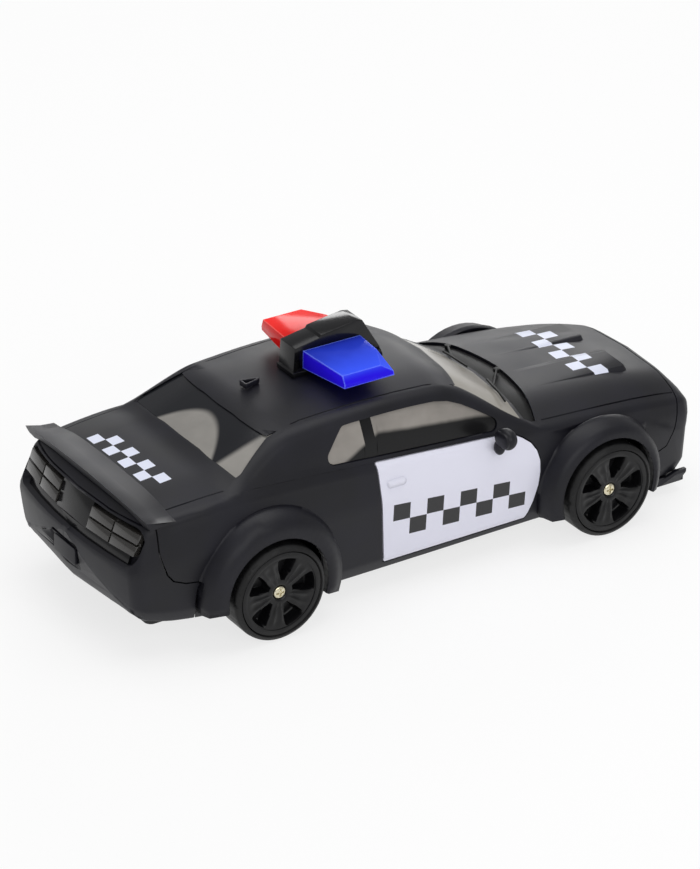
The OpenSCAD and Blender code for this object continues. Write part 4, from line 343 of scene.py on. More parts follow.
def pane(name, dark, pale_painted_light, spread):
    finish = new_finish(name)
    place = put(finish, "TexCoord")
    wave = put(finish, "TexNoise", {"Vector": (place, "Object"), "Scale": per_mm(PANE_CLOUD_MM),
                                    "Detail": 3.0})
    share = spread(finish, *place_mm(finish, place), wave)
    # Painted light: the pale colour is mixed over the dark one where the map says light shines through
    colour = put(finish, "Mix", {MIX_SHARE: share, MIX_UNDER: to_linear(dark), MIX_OVER: to_linear(pale_painted_light)},
                 data_type="RGBA")
    gloss = put(finish, "MapRange", [wave, 0, 1, *PANE_ROUGH])
    shader = put(finish, "BsdfPrincipled", {"Base Color": (colour, MIXED), "Roughness": gloss,
                                            "IOR": CLEAR_IOR, "Specular IOR Level": PANE_SHINE})
    put(finish, "OutputMaterial", [shader])
    return finish


print("panes are", PANE_ROUGH[0], "to", PANE_ROUGH[1], "rough")

# %% [markdown]
# The rear window gets painted light, standing for light shining through, under an arch on its left half
# and along its near border. The arch is a parabola across the car, set against how far up the pane a
# point lies.

# %% Painted light on the rear window
REAR_PANE_X, ARCH_MID_Y, ARCH_HALF_Y = (-88, -58), -2.0, 25.0
ARCH_TOP, ARCH_DROP, ARCH_SPAN = 0.5, 0.6, (-0.02, 0.08)
BORDER_Y, BORDER_LEAN, BORDER_SPAN = 25.0, 6.0, (-1.0, 2.0)
REAR_LEVEL = (0.5, 0.6)


def rear_painted_light_map(finish, x, y, z, wave):
    up = put(finish, "MapRange", [x, *REAR_PANE_X, 0, 1], clamp=False)
    across = put(finish, "MapRange", [y, ARCH_MID_Y, ARCH_MID_Y + ARCH_HALF_Y, 0, 1], clamp=False)
    drop = put(finish, "Math", [across, 2.0], operation="POWER")
    arch = put(finish, "Math", [drop, -ARCH_DROP, ARCH_TOP], operation="MULTIPLY_ADD")
    under = put(finish, "Math", [arch, up], operation="SUBTRACT")
    left = put(finish, "MapRange", [under, *ARCH_SPAN], interpolation_type="SMOOTHSTEP")
    border = put(finish, "Math", [up, BORDER_LEAN, BORDER_Y], operation="MULTIPLY_ADD")
    right = put(finish, "Math", [y, -1.0], operation="MULTIPLY")
    beyond = put(finish, "Math", [right, border], operation="SUBTRACT")
    near = put(finish, "MapRange", [beyond, *BORDER_SPAN], interpolation_type="SMOOTHSTEP")
    # Painted light: pale under the arch and along the near border, drifting with the cloud
    both = put(finish, "Math", [left, near], operation="MAXIMUM")
    level = put(finish, "Math", [wave, *REAR_LEVEL], operation="MULTIPLY_ADD")
    return put(finish, "Math", [both, level], operation="MULTIPLY")


# Smoked sheet of the rear window: blue-black, with painted light where light shines through
finishes["rear_pane"] = pane("smoked_rear_pane_painted_light", "#1d1e22", "#97948f", rear_painted_light_map)
print("rear window ready")

# %% [markdown]
# A side window is one moulding with a gloss pillar that parts the quarter window from the door window.
# The pillar stays dark. Both windows get painted light above a slanting line, standing for light shining
# through, and stay dark below it, where the far door stands behind them.

# %% Painted light on the side windows
PILLAR_LEAN, PILLAR_X0, PILLAR_X1 = 0.09, -20.6, -15.4
FORE_LINE, AFT_LINE, LINE_SPAN = (-0.12, 65.8), (0.44, 76.8), (-0.6, 1.6)
SIDE_DRIFT, SIDE_LEVEL = 0.7, (0.15, 0.4)


def side_painted_light_map(finish, x, y, z, wave):
    leant = put(finish, "Math", [z, PILLAR_LEAN, x], operation="MULTIPLY_ADD")
    behind = put(finish, "Math", [leant, PILLAR_X0], operation="LESS_THAN")
    ahead = put(finish, "Math", [leant, PILLAR_X1], operation="GREATER_THAN")
    beside = put(finish, "Math", [behind, ahead], operation="MAXIMUM")
    lines = [put(finish, "Math", [x, *line], operation="MULTIPLY_ADD") for line in (FORE_LINE, AFT_LINE)]
    shadow = put(finish, "Math", lines, operation="MINIMUM")
    height = put(finish, "Math", [put(finish, "Math", [z, wave], operation="ADD"), shadow],
                 operation="SUBTRACT")
    # Painted light: pale above the slanting line, except on the pillar
    high = put(finish, "MapRange", [height, *LINE_SPAN], interpolation_type="SMOOTHSTEP")
    base = put(finish, "Math", [behind, *SIDE_LEVEL], operation="MULTIPLY_ADD")
    level = put(finish, "Math", [wave, SIDE_DRIFT, base], operation="MULTIPLY_ADD")
    pale_painted_light = put(finish, "Math", [high, level], operation="MULTIPLY")
    return put(finish, "Math", [pale_painted_light, beside], operation="MULTIPLY")


# Smoked sheet of the side windows: warm black, with painted light above the line
finishes["side_pane"] = pane("smoked_side_pane_painted_light", "#161617", "#9a958f", side_painted_light_map)
print("side windows ready")

# %% [markdown]
# The windscreen gets painted light nearly all over. Only a strip along its lower border stays dark, over the
# cowl.

# %% Painted light on the windscreen
SCREEN_DRIFT, SCREEN_SPAN, SCREEN_LEVEL = 3.0, (51.0, 55.0), (0.3, 0.8)


def screen_painted_light_map(finish, x, y, z, wave):
    # Painted light: pale above a wavy line near the lower border
    height = put(finish, "Math", [wave, SCREEN_DRIFT, z], operation="MULTIPLY_ADD")
    high = put(finish, "MapRange", [height, *SCREEN_SPAN], interpolation_type="SMOOTHSTEP")
    level = put(finish, "Math", [wave, *SCREEN_LEVEL], operation="MULTIPLY_ADD")
    return put(finish, "Math", [high, level], operation="MULTIPLY")


# Smoked sheet of the windscreen: a warm grey veil, with painted light over most of it
finishes["front_pane"] = pane("smoked_windscreen_painted_light", "#222224", "#96928a", screen_painted_light_map)
print("windscreen ready")

# %% [markdown]
# Bright metal pieces are few: the screws, the axle, the pins and the pinion. Drawn or turned metal has
# a fine texture that breaks up its highlight, so two close shades, the gloss and a faint bump all follow
# one fine noise.

# %% Metal
METAL_SPAN, METAL_BUMP, METAL_DEEP = (0.3, 0.7), 0.15, 0.05


def metal(name, dark, light, rough, line_mm):
    finish = new_finish(name)
    place = put(finish, "TexCoord")
    lines = put(finish, "TexNoise", {"Vector": (place, "Object"), "Scale": per_mm(line_mm),
                                     "Detail": 3.0})
    shades = put(finish, "ValToRGB", [lines])
    for stop, spot, code in zip(shades.color_ramp.elements, METAL_SPAN, (dark, light)):
        stop.position, stop.color = spot, to_linear(code)
    gloss = put(finish, "MapRange", [lines, 0, 1, *rough])
    bump = put(finish, "Bump", {"Strength": METAL_BUMP, "Distance": METAL_DEEP * MM, "Height": lines})
    shader = put(finish, "BsdfPrincipled", {"Metallic": 1.0, "Base Color": shades, "Roughness": gloss,
                                            "Normal": bump})
    put(finish, "OutputMaterial", [shader])
    return finish


# Yellow zinc on steel: pale gold, a little dull
finishes["gilt_screw"] = metal("yellow_zinc_plate", "#c9c0a0", "#e4dec8", (0.2, 0.34), 0.6)
# Drawn steel of axle, pins and small screws: cool grey and bright
finishes["steel"] = metal("bright_drawn_steel", "#a8a8ac", "#c6c6ca", (0.2, 0.35), 0.5)
# Machined brass of pinion and bushes: warm yellow and bright
finishes["brass"] = metal("machined_brass", "#b08d4a", "#cda95e", (0.22, 0.36), 0.5)
print(len(finishes), "finishes in all")

# %% [markdown]
# The body of the car is one swelling form, drawn as curves along the car and outlines across it. The
# solids were cut from a coarse net of that form. Here the same form is drawn again as a much finer net.
# It isn't shown: it is the smooth guide that the finer copies of the shell, doors, bumpers and panes are
# drawn on to.

# %% Curves of the body
HALF_L, HALF_W, ROOF = 140.0, 49.0, 82.0
TAIL_X, NOSE_X, END_R = -134.5, 136.5, 4.0
deck_z = ((-1, .715), (-.909, .757), (-.777, .782), (-.635, .799), (-.422, .79), (-.168, .756),
          (.156, .724), (.45, .71), (.663, .69), (.805, .666), (.937, .612), (1.029, .55))
shoulder_z = ((-1, .68), (-.909, .713), (-.777, .732), (-.635, .74), (-.422, .728), (-.168, .697),
              (.156, .654), (.45, .617), (.663, .587), (.805, .557), (.937, .514), (1.029, .476))
shoulder_y = ((-1, .85), (-.909, .9), (-.777, .93), (-.635, .948), (-.422, .95), (-.168, .95),
              (.156, .95), (.45, .94), (.663, .918), (.805, .888), (.937, .832), (1.029, .755))
side_y = ((-1, .915), (-.909, .968), (-.777, 1), (-.635, 1.012), (-.422, 1.01), (-.168, 1),
          (.156, 1), (.45, .998), (.663, .985), (.805, .958), (.937, .9), (1.029, .815))
side_z = ((-1, .488), (-.635, .512), (.014, .49), (.45, .463), (1.029, .4))
bottom_z = ((-1, .222), (-.848, .168), (-.422, .11), (.45, .11), (.876, .098), (1.029, .098))
roof_z = ((-.691, .738), (-.633, .795), (-.59, .835), (-.475, .941), (-.418, .974), (-.165, 1),
          (.072, .976), (.129, .949), (.187, .893), (.273, .8), (.359, .707), (.431, .63))
rail_z = ((-.691, .707), (-.633, .762), (-.59, .799), (-.475, .902), (-.418, .935), (-.165, .955),
          (.072, .933), (.129, .902), (.187, .848), (.273, .756), (.359, .667), (.431, .591))
rail_y = ((-.691, .898), (-.633, .863), (-.59, .837), (-.475, .771), (-.418, .755), (-.165, .767),
          (.072, .751), (.129, .759), (.187, .788), (.273, .857), (.359, .918), (.431, .939))
tail_lean = ((0, 1.3), (.146, 1), (.244, .38), (.366, .06), (.476, 0), (.512, .12), (.67, .7),
             (.756, 1), (1, 1.4))
nose_lean = ((0, 1.2), (.085, 1), (.146, .5), (.244, .1), (.341, .3), (.463, 0), (.512, .16),
             (.56, .6), (1, 2))


def curve(table, u):
    i = 0
    while i < len(table) - 2 and u >= table[i + 1][0]:
        i += 1

    def slope(k):
        a, b = table[max(0, k - 1)], table[min(len(table) - 1, k + 1)]
        return (b[1] - a[1]) / (b[0] - a[0])

    h = table[i + 1][0] - table[i][0]
    s = (u - table[i][0]) / h
    q = 1 - s
    return ((1 + 2 * s) * q * q * table[i][1] + s * q * q * h * slope(i)
            + s * s * (3 - 2 * s) * table[i + 1][1] - s * s * q * h * slope(i + 1))


print("bonnet and boot meet the cabin at", round(ROOF * curve(deck_z, 0), 1), "mm")

# %% [markdown]
# Across the car the body is an outline of straight runs with rounded corners. A corner is cut back along
# both of its runs and filled with an arc, of as many short steps as its size needs.

# %% Rounded corners
LONGEST_CUT, NEARLY_STRAIGHT = 0.48, math.radians(1)


def fillet(a, b, c, r, n):
    u, v = (a - b).normalized(), (c - b).normalized()
    half = math.acos(max(-1, min(1, u.dot(v)))) / 2
    t = min(r / math.tan(half), LONGEST_CUT * (a - b).length, LONGEST_CUT * (c - b).length)
    p, q = b + u * t, b + v * t
    spread = math.pi - 2 * half
    if spread < NEARLY_STRAIGHT:
        return [p + (q - p) * i / n for i in range(n + 1)]
    o = b + (u + v).normalized() * (t / math.cos(half))
    return [o + (math.sin(spread * (n - i) / n) * (p - o) + math.sin(spread * i / n) * (q - o))
            / math.sin(spread) for i in range(n + 1)]


def rounded(points, radii, counts):
    pts = [Vector(p) for p in points]
    out = [pts[0]]
    for i in range(1, len(pts) - 1):
        out += fillet(pts[i - 1], pts[i], pts[i + 1], radii[i - 1], counts[i - 1])
    return out + [pts[-1]]


print("a corner of 3 steps has", len(fillet(Vector((0, 9)), Vector((0, 0)), Vector((9, 0)), 2, 3)), "points")

# %% [markdown]
# The lower body's outline runs from the sill over the side and the shoulder to the crown of the deck. The
# cabin's runs over its rails to the crown of the roof. Half of each is written, the other half is its
# mirror image.

# %% Outlines across the body
SILL_SHARES, SILL_UP, DECK_CROWN = (.93, .975), 6, (.66, .84)
LOWER_RADII, LOWER_COUNTS = (2, 6, 30, 5, 80), (3, 4, 8, 8, 8)
CABIN_DROP, CABIN_IN, CABIN_STEP, ROOF_CROWN = 2, 1, .6, (.55, .76)
CABIN_RADII, CABIN_COUNTS = (2, 8, 90), (2, 10, 8)


def lower_half(x):
    u = x / HALF_L
    ys, zs = HALF_W * curve(side_y, u), ROOF * curve(side_z, u)
    yh, zh = HALF_W * curve(shoulder_y, u), ROOF * curve(shoulder_z, u)
    zc, zb = ROOF * curve(deck_z, u), ROOF * curve(bottom_z, u)
    return rounded(((0, zb), (ys * SILL_SHARES[0], zb), (ys * SILL_SHARES[1], zb + SILL_UP), (ys, zs),
                    (yh, zh), (yh * DECK_CROWN[0], zh + (zc - zh) * DECK_CROWN[1]), (0, zc)),
                   LOWER_RADII, LOWER_COUNTS)


def cabin_half(x):
    u = x / HALF_L
    zf, yf = ROOF * curve(shoulder_z, u) - CABIN_DROP, HALF_W * curve(shoulder_y, u) - CABIN_IN
    zr, yr = max(ROOF * curve(rail_z, u), zf + CABIN_STEP), HALF_W * curve(rail_y, u)
    zc = max(ROOF * curve(roof_z, u), zr + CABIN_STEP)
    return rounded(((0, zf), (yf, zf), (yr, zr), (yr * ROOF_CROWN[0], zr + (zc - zr) * ROOF_CROWN[1]),
                    (0, zc)), CABIN_RADII, CABIN_COUNTS)


def whole(half):
    return half + [Vector((-p.x, p.y)) for p in half[-2:0:-1]]


def inset(ring, d):
    if d == 0:
        return ring
    out = []
    for i, p in enumerate(ring):
        t = (ring[(i + 1) % len(ring)] - ring[i - 1]).normalized()
        out.append(p + d * Vector((-t.y, t.x)))
    return out


print("half outlines of", len(lower_half(0)), "and", len(cabin_half(0)), "points")

# %% [markdown]
# Seen from above, nose and tail bulge, and seen from the side they lean in and out. So the outlines near
# the ends are bent after they are drawn: the middle of each is pushed out, and each height has its lean.
# The windscreen and the rear window bulge in the same way.

# %% The bulging, leaning ends
WARP_FROM = HALF_L * .71
TAIL_BOW, TAIL_LEAN_MM, NOSE_BOW, NOSE_LEAN_MM = 5.5, 8, 3.5, 5
SCREEN_BOW, SCREEN_FROM, SCREEN_OVER = 5, -6, 26
REAR_BOW, REAR_FROM, REAR_OVER = 3, -46, -20


def warp(x, y, z):
    bow = 1 - (y / HALF_W) ** 2
    back = max(0, (-x - WARP_FROM) / (-TAIL_X - WARP_FROM)) ** 2
    front = max(0, (x - WARP_FROM) / (NOSE_X - WARP_FROM)) ** 2
    return Vector((x - back * (TAIL_BOW * bow - TAIL_LEAN_MM * curve(tail_lean, z / ROOF))
                   + front * (NOSE_BOW * bow - NOSE_LEAN_MM * curve(nose_lean, z / ROOF)), y, z)) * MM


def ease(t):
    s = max(0, min(1, t))
    return s * s * (3 - 2 * s)


def cabin_warp(x, y, z):
    bow = 1 - (y / (HALF_W * curve(shoulder_y, x / HALF_L))) ** 2
    return Vector((x + SCREEN_BOW * bow * ease((x - SCREEN_FROM) / SCREEN_OVER)
                   - REAR_BOW * bow * ease((x - REAR_FROM) / REAR_OVER), y, z)) * MM


def lower_ring(x, d=0, k=1):
    half = lower_half(x)
    ring = inset(whole(half), d)
    mid = (ring[0].y + half[-1].y) / 2
    return [warp(x, p.x * k, mid + (p.y - mid) * k) for p in ring]


def cabin_ring(x):
    return [cabin_warp(x, p.x, p.y) for p in whole(cabin_half(x))]


print("the tail bulges", TAIL_BOW, "mm and the nose", NOSE_BOW, "mm")

# %% [markdown]
# The outlines are now strung along the car. They stand close together, turn round the edge of nose and
# tail in small steps, and close each end with a few shrunken outlines.

# %% Outlines along the car
END_TURNS = [math.radians(a) for a in (90, 75, 60, 45, 30, 15)]
TAIL_CAPS, NOSE_CAPS = (.05, .3, .55, .8), (.55, .05)
STEPS, CABIN_STEPS = 130, 90
lower = [lower_ring(TAIL_X, END_R, k) for k in TAIL_CAPS]
lower += [lower_ring(TAIL_X + END_R * (1 - math.sin(a)), END_R * (1 - math.cos(a))) for a in END_TURNS]
lower += [lower_ring(TAIL_X + END_R + (NOSE_X - TAIL_X - 2 * END_R) * i / STEPS)
          for i in range(STEPS + 1)]
lower += [lower_ring(NOSE_X - END_R * (1 - math.sin(a)), END_R * (1 - math.cos(a)))
          for a in reversed(END_TURNS)]
lower += [lower_ring(NOSE_X, END_R, k) for k in NOSE_CAPS]
CABIN_X0, CABIN_X1 = HALF_L * roof_z[0][0], HALF_L * roof_z[-1][0]
cabin = [cabin_ring(CABIN_X0 + (CABIN_X1 - CABIN_X0) * i / CABIN_STEPS) for i in range(CABIN_STEPS + 1)]
print("guide nets:", len(lower), "and", len(cabin), "outlines")

# %% [markdown]
# A guide is a net over the strung outlines, kept in a search tree. For any point it tells the nearest spot
# on the form, from which the smooth normal there and the point's distance follow.

# %% The smooth guide
def guide_net(rings):
    n = len(rings[0])
    faces = [(i * n + j, (i + 1) * n + j, (i + 1) * n + (j + 1) % n, i * n + (j + 1) % n)
             for i in range(len(rings) - 1) for j in range(n)]
    return [p for r in rings for p in r], faces


def guide_mesh(name, rings):
    points, faces = guide_net(rings)
    mesh = bpy.data.meshes.new(name)
    mesh.from_pydata(points, [], faces)
    bm = bmesh.new()
    bm.from_mesh(mesh)
    bmesh.ops.recalc_face_normals(bm, faces=bm.faces)
    bm.normal_update()
    bmesh.ops.triangulate(bm, faces=bm.faces)
    tree = BVHTree.FromBMesh(bm)
    bm.verts.ensure_lookup_table()
    normals = [v.normal.copy() for v in bm.verts]
    tris = [[v.index for v in f.verts] for f in bm.faces]
    spots = [v.co.copy() for v in bm.verts]
    bm.free()
    bpy.data.meshes.remove(mesh)
    return tree, spots, normals, tris


guides = [guide_mesh("lower_guide", lower), guide_mesh("cabin_guide", cabin)]
print("guides of", [len(g[3]) for g in guides], "triangles")

# %% [markdown]
# Cabin and lower body are two guides, so a question goes to both and the nearer one answers. Near the
# crease between them the normals ease into each other, and a point inside the other form counts as hidden.

# %% Questions to the guide
CREASE_MM, HIDDEN_MM, SKIN_MM, CREASE_STEPS = 4, 0.2, 0.08, 8


def on_guide(point, which=(0, 1)):
    found = []
    for tree, spots, normals, tris in (guides[k] for k in which):
        spot, _, index, gap = tree.find_nearest(point)
        corners = tris[index]
        areas = [(spots[corners[i - 2]] - spot).cross(spots[corners[i - 1]] - spot).length
                 for i in range(3)]
        normal = sum((normals[c] * w for c, w in zip(corners, areas)), Vector())
        found.append((gap, spot, normal.normalized()))
    found.sort(key=lambda f: f[0])
    _, spot, normal = found[0]
    eased, out = normal, (point - spot).dot(normal)
    if len(found) > 1:
        _, other, across = found[1]
        away = max(0, (spot - other).dot(across)) / (CREASE_MM * MM)
        if away < 1:
            eased = normal.lerp(across, 0.5 * (1 - away) ** 2).normalized()
        if (point - other).dot(across) < -HIDDEN_MM * MM:
            out = -math.inf
    return spot, normal, out, eased


def on_crease(point):
    for _ in range(CREASE_STEPS):
        for guide in guides:
            point = guide[0].find_nearest(point)[0]
    return point


print("guide test above the roof:", round(on_guide(Vector((0, 0, .09)))[2] / MM, 2), "mm")

# %% [markdown]
# Each solid stays as it came, and what is shown is a refined copy of it. The copy's loose triangles are
# first joined where their corners meet. When the copy is done, it gets its finish, rides on the body that
# carries its solid, and takes that solid's place in the picture.

# %% Copies of the solids
JOIN_MM = 0.002


def deselect():
    for o in bpy.context.view_layer.objects:
        o.select_set(False)


def only(obj):
    deselect()
    obj.select_set(True)
    bpy.context.view_layer.objects.active = obj


def copy_of(node):
    source = frame["nodes"][node]
    piece = source.copy()
    piece.data = source.data.copy()
    piece.name = node + "_shown"
    piece.parent = None
    for key in list(piece.keys()):
        del piece[key]
    bpy.context.scene.collection.objects.link(piece)
    only(piece)
    bpy.ops.object.mode_set(mode="EDIT")
    bpy.ops.mesh.select_all(action="SELECT")
    bpy.ops.mesh.remove_doubles(threshold=JOIN_MM * MM)
    bpy.ops.object.mode_set(mode="OBJECT")
    return piece


def settle(piece, node, slot, finish=None):
    piece.data.materials.clear()
    piece.data.materials.append(finishes[finish or slot])
    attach(piece, body_of_node[node])
    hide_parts(node)


print("corners closer than", JOIN_MM, "mm are joined")

# %% [markdown]
# A dressed copy is for most mouldings: flat triangles are merged back into faces, and the sharp edges get
# the small round that a mould always leaves. That round catches a thin line of light on the real piece.

# %% Dressed copies
FLAT_TURN, EDGE_TURN, EDGE_ROUND, EDGE_STEPS = 3, 32, 0.2, 2


def dressed(node, slot, round_mm=EDGE_ROUND):
    piece = copy_of(node)
    bpy.ops.object.mode_set(mode="EDIT")
    bpy.ops.mesh.select_all(action="SELECT")
    bpy.ops.mesh.dissolve_limited(angle_limit=math.radians(FLAT_TURN))
    bpy.ops.object.mode_set(mode="OBJECT")
    bevel = piece.modifiers.new("edge_round", "BEVEL")
    bevel.width = round_mm * MM
    bevel.segments = EDGE_STEPS
    bevel.limit_method = "ANGLE"
    bevel.angle_limit = math.radians(EDGE_TURN)
    bevel.use_clamp_overlap = True
    bpy.ops.object.modifier_apply(modifier=bevel.name)
    bpy.ops.object.shade_smooth_by_angle(angle=math.radians(EDGE_TURN))
    settle(piece, node, slot)
    return piece


print("edges over", EDGE_TURN, "degrees get a round of", EDGE_ROUND, "mm")

# %% [markdown]
# Small plump mouldings are melted: an even fine net is laid over them and smoothed. The door mirrors are
# the plumpest. Their head is an egg, flatter towards the driver's glass, on a thick short stalk, so two
# shaped balls are joined with the copy before the net is laid over all of it.

# %% Melted copies
NET_MM, NET_SOFT, NET_PASSES = 0.22, 0.5, 9
EGG_SEGMENTS, EGG_RINGS = 32, 20
MIRROR_HEAD = (33.3, 53.6, 56.4), (4.3, 5.2, 4.5), 0.65
MIRROR_STALK = (32.6, 50.4, 51.6), (2.3, 2.6, 3.4), 1


def egg(at, half, flat, side):
    deselect()
    bpy.ops.mesh.primitive_uv_sphere_add(segments=EGG_SEGMENTS, ring_count=EGG_RINGS, radius=1)
    ball = bpy.context.active_object
    for v in ball.data.vertices:
        back = flat if v.co.x < 0 else 1
        v.co = Vector((at[0] + v.co.x * back * half[0], side * (at[1] + v.co.y * half[1]),
                       at[2] + v.co.z * half[2])) * MM
    if side < 0:
        ball.data.flip_normals()
    return ball


def melted(node, slot, forms=()):
    piece = copy_of(node)
    if forms:
        only(piece)
        for form in forms:
            form.select_set(True)
        bpy.ops.object.join()
    skin = piece.modifiers.new("even_net", "REMESH")
    skin.mode = "VOXEL"
    skin.voxel_size = NET_MM * MM
    bpy.ops.object.modifier_apply(modifier=skin.name)
    soften = piece.modifiers.new("soft_forms", "SMOOTH")
    soften.factor = NET_SOFT
    soften.iterations = NET_PASSES
    bpy.ops.object.modifier_apply(modifier=soften.name)
    bpy.ops.object.shade_smooth()
    settle(piece, node, slot)
    return piece


print("melted pieces have a net of", NET_MM, "mm")

# %% [markdown]
# A fairing copy is for the body's skin. Its triangles are split until they are short. Points that belong
# to the skin are then drawn on to the smooth guide, or on to the crease between both guides, and take the
# guide's normals, so the coarse net of the solid no longer shows.

# %% Steps of a fairing copy
SPLIT_MM, SPLIT_PASSES = 4.0, 4
FACING, FOLD, SHARE_NORMAL, SMOOTH_TURN = 0.8, 0.9, 0.75, 30


def split_skin(bm, belongs):
    for _ in range(SPLIT_PASSES):
        long_edges = [e for e in bm.edges if e.calc_length() > SPLIT_MM * MM
                      and belongs(e.verts[0]) and belongs(e.verts[1])]
        if not long_edges:
            break
        bmesh.ops.subdivide_edges(bm, edges=long_edges, cuts=1)
        bmesh.ops.triangulate(bm, faces=[f for f in bm.faces if len(f.verts) > 3])
        bm.normal_update()


def drawn_on(v, depth, near, which):
    spot, normal, _, _ = on_guide(v.co, which)
    if len(which) > 1:
        beside = [(f.normal, on_guide(f.calc_center_median(), which)) for f in v.link_faces]
        folds = any(abs(out) < near and there.dot(normal) < FOLD and own.dot(there) > FACING
                    for own, (_, there, out, _) in beside)
        meet = on_crease(v.co) if folds else None
        if folds and (meet - v.co).length < 2 * near:
            return meet
    return spot - normal * depth


def take_normals(mesh, smooth):
    own = [Vector(n.vector) for n in mesh.corner_normals]
    for face in mesh.polygons:
        for loop in face.loop_indices:
            eased = smooth.get(mesh.loops[loop].vertex_index)
            if eased is not None and face.normal.dot(eased) > SHARE_NORMAL:
                own[loop] = eased
    mesh.normals_split_custom_set(own)


print("skin edges are split down to", SPLIT_MM, "mm")

# %% [markdown]
# With these steps at hand, a fairing copy is made in one go. Which points belong to the skin is asked
# often, so each answer is kept. A point belongs when it lies near enough to the guide and at least one of
# its faces looks the same way as the guide does there.

# %% Fairing copies
def fairing(node, slot, depth_mm=0.0, near_mm=0.35, finish=None, which=(0, 1)):
    piece = copy_of(node)
    depth, near, skin = depth_mm * MM, near_mm * MM, {}
    bm = bmesh.new()
    bm.from_mesh(piece.data)

    def belongs(v):
        key = v.co.to_tuple(7)
        if key not in skin:
            _, normal, out, _ = on_guide(v.co, which)
            faces = any(f.normal.dot(normal) > FACING for f in v.link_faces)
            skin[key] = faces and abs(out + depth) < near
        return skin[key]

    bm.normal_update()
    split_skin(bm, belongs)
    moved = 0
    for v in bm.verts:
        if belongs(v):
            v.co = drawn_on(v, depth, near, which)
            moved += 1
    bm.verts.index_update()
    smooth = {}
    for v in bm.verts:
        _, _, out, eased = on_guide(v.co, which)
        if abs(out + depth) < SKIN_MM * MM:
            smooth[v.index] = eased
    bm.to_mesh(piece.data)
    bm.free()
    only(piece)
    bpy.ops.object.shade_smooth_by_angle(angle=math.radians(SMOOTH_TURN))
    take_normals(piece.data, smooth)
    settle(piece, node, slot, finish)
    print(node, len(piece.data.polygons), "faces,", moved, "points on the guide")


# %% [markdown]
# The shell, both bumpers and the doors are the skin itself. The tail's solid lies a little further from
# the guide than the rest, so its points may be drawn from further off.

# %% Skin of the body
TAIL_NEAR = 0.8
fairing("body_shell", "body_black", finish="shell_black")
fairing("front_bumper", "body_black")
fairing("rear_bumper", "body_black", near_mm=TAIL_NEAR)
for side in ("left", "right"):
    fairing("door_" + side, "door_white")

# %% [markdown]
# The panes lie a little below the skin of the cabin, as moulded windows do, so they follow the cabin's
# guide alone, at their own depth.

# %% Panes
PANE_DEPTH, PANE_NEAR = 0.7, 0.6
for node, finish in (("windscreen", "front_pane"), ("rear_window", "rear_pane"),
                     ("side_window_left", "side_pane"), ("side_window_right", "side_pane")):
    fairing(node, "smoke_pane", PANE_DEPTH, PANE_NEAR, finish=finish, which=(1,))

# %% [markdown]
# All the other pieces are listed with their finishes. The covers of the light bar get a larger round, as
# clear plastic is moulded thick and soft-edged.

# %% Other mouldings
plain = {"grille": "gloss_black", "headlamp_left": "clear_lamp", "headlamp_right": "clear_lamp",
         "number_plate": "body_black", "tail_lens_left": "smoke_lens", "tail_lens_right": "smoke_lens",
         "tail_panel": "gloss_black", "boot_lip": "body_black", "mirror_left": "body_black",
         "mirror_right": "body_black", "cowl": "wiper_black", "wiper_left": "wiper_black",
         "wiper_right": "wiper_black", "lightbar_bridge": "gloss_black", "lens_red": "lens_red",
         "lens_blue": "lens_blue", "lamp_board": "board_green", "aerial": "body_black",
         "rear_axle": "steel", "axle_gear": "nylon", "idler_gear": "nylon", "pinion": "brass",
         "gear_case": "chassis_black", "gear_lid": "chassis_black", "idler_pin": "steel",
         "motor": "steel", "axle_bushes": "brass", "knuckle_left": "nylon", "knuckle_right": "nylon",
         "tie_rod": "nylon", "servo": "servo_blue", "servo_horn": "nylon",
         "kingpin_bar": "chassis_black", "chassis": "chassis_black", "small_screws": "steel",
         "battery_pack": "wrap_blue", "battery_cover": "chassis_black", "circuit_board": "board_green",
         "switch_body": "wiper_black", "switch_knob": "switch_red", "screw_front_left": "gilt_screw",
         "screw_front_right": "gilt_screw", "screws_rear": "gilt_screw"}
for place in ("front_left", "front_right", "rear_left", "rear_right"):
    plain["rim_" + place] = "rim_black"
    plain["tyre_" + place] = "tyre_rubber"
COVER_ROUND = 0.9
for node, slot in plain.items():
    if node in ("mirror_left", "mirror_right"):
        side = -1 if node.endswith("right") else 1
        piece = melted(node, slot, [egg(*form, side) for form in (MIRROR_HEAD, MIRROR_STALK)])
    elif node == "aerial":
        piece = melted(node, slot)
    else:
        piece = dressed(node, slot, COVER_ROUND if slot in ("lens_red", "lens_blue") else EDGE_ROUND)
    print(node, len(piece.data.polygons), "faces")

# %% [markdown]
# The wheels' faces are the liveliest forms of the car: five broad spokes, each with two ridges and a
# hollow between them, run out into the rim, and deep pockets with soft walls part them. A flat grid is
# wrapped into a ring, and each of its points is raised or sunk by a rule of its radius and its angle from
# the nearest spoke. The solid rim stays behind it and carries the lip, the barrel and the hub.

# %% Heights of a wheel face
SPOKES = 5
ridge_top = ((3.05, -2.3), (3.5, -1.75), (9.8, -0.8), (15.85, -0.72))
RIDGE_AT, RIDGE_WIDE, HOLLOW_DEEP, HOLLOW_FROM, HOLLOW_TO, HOLLOW_RUN = 9, 4.5, 0.5, 4, 15, 3
POCKET_AT, POCKET_DEEP, POCKET_HALF, POCKET_GROWS, GROW_FROM, GROW_RUN = 33.5, -6.2, 10, 7.5, 5, 6
POCKET_WALLS, POCKET_R0, POCKET_R1, POCKET_RUNS = (3.0, 5.5), 5.4, 15.2, (1.6, 1.0)


def along(table, r):
    for (r0, z0), (r1, z1) in zip(table, table[1:]):
        if r <= r1:
            return z0 + (z1 - z0) * max(0, r - r0) / (r1 - r0)
    return table[-1][1]


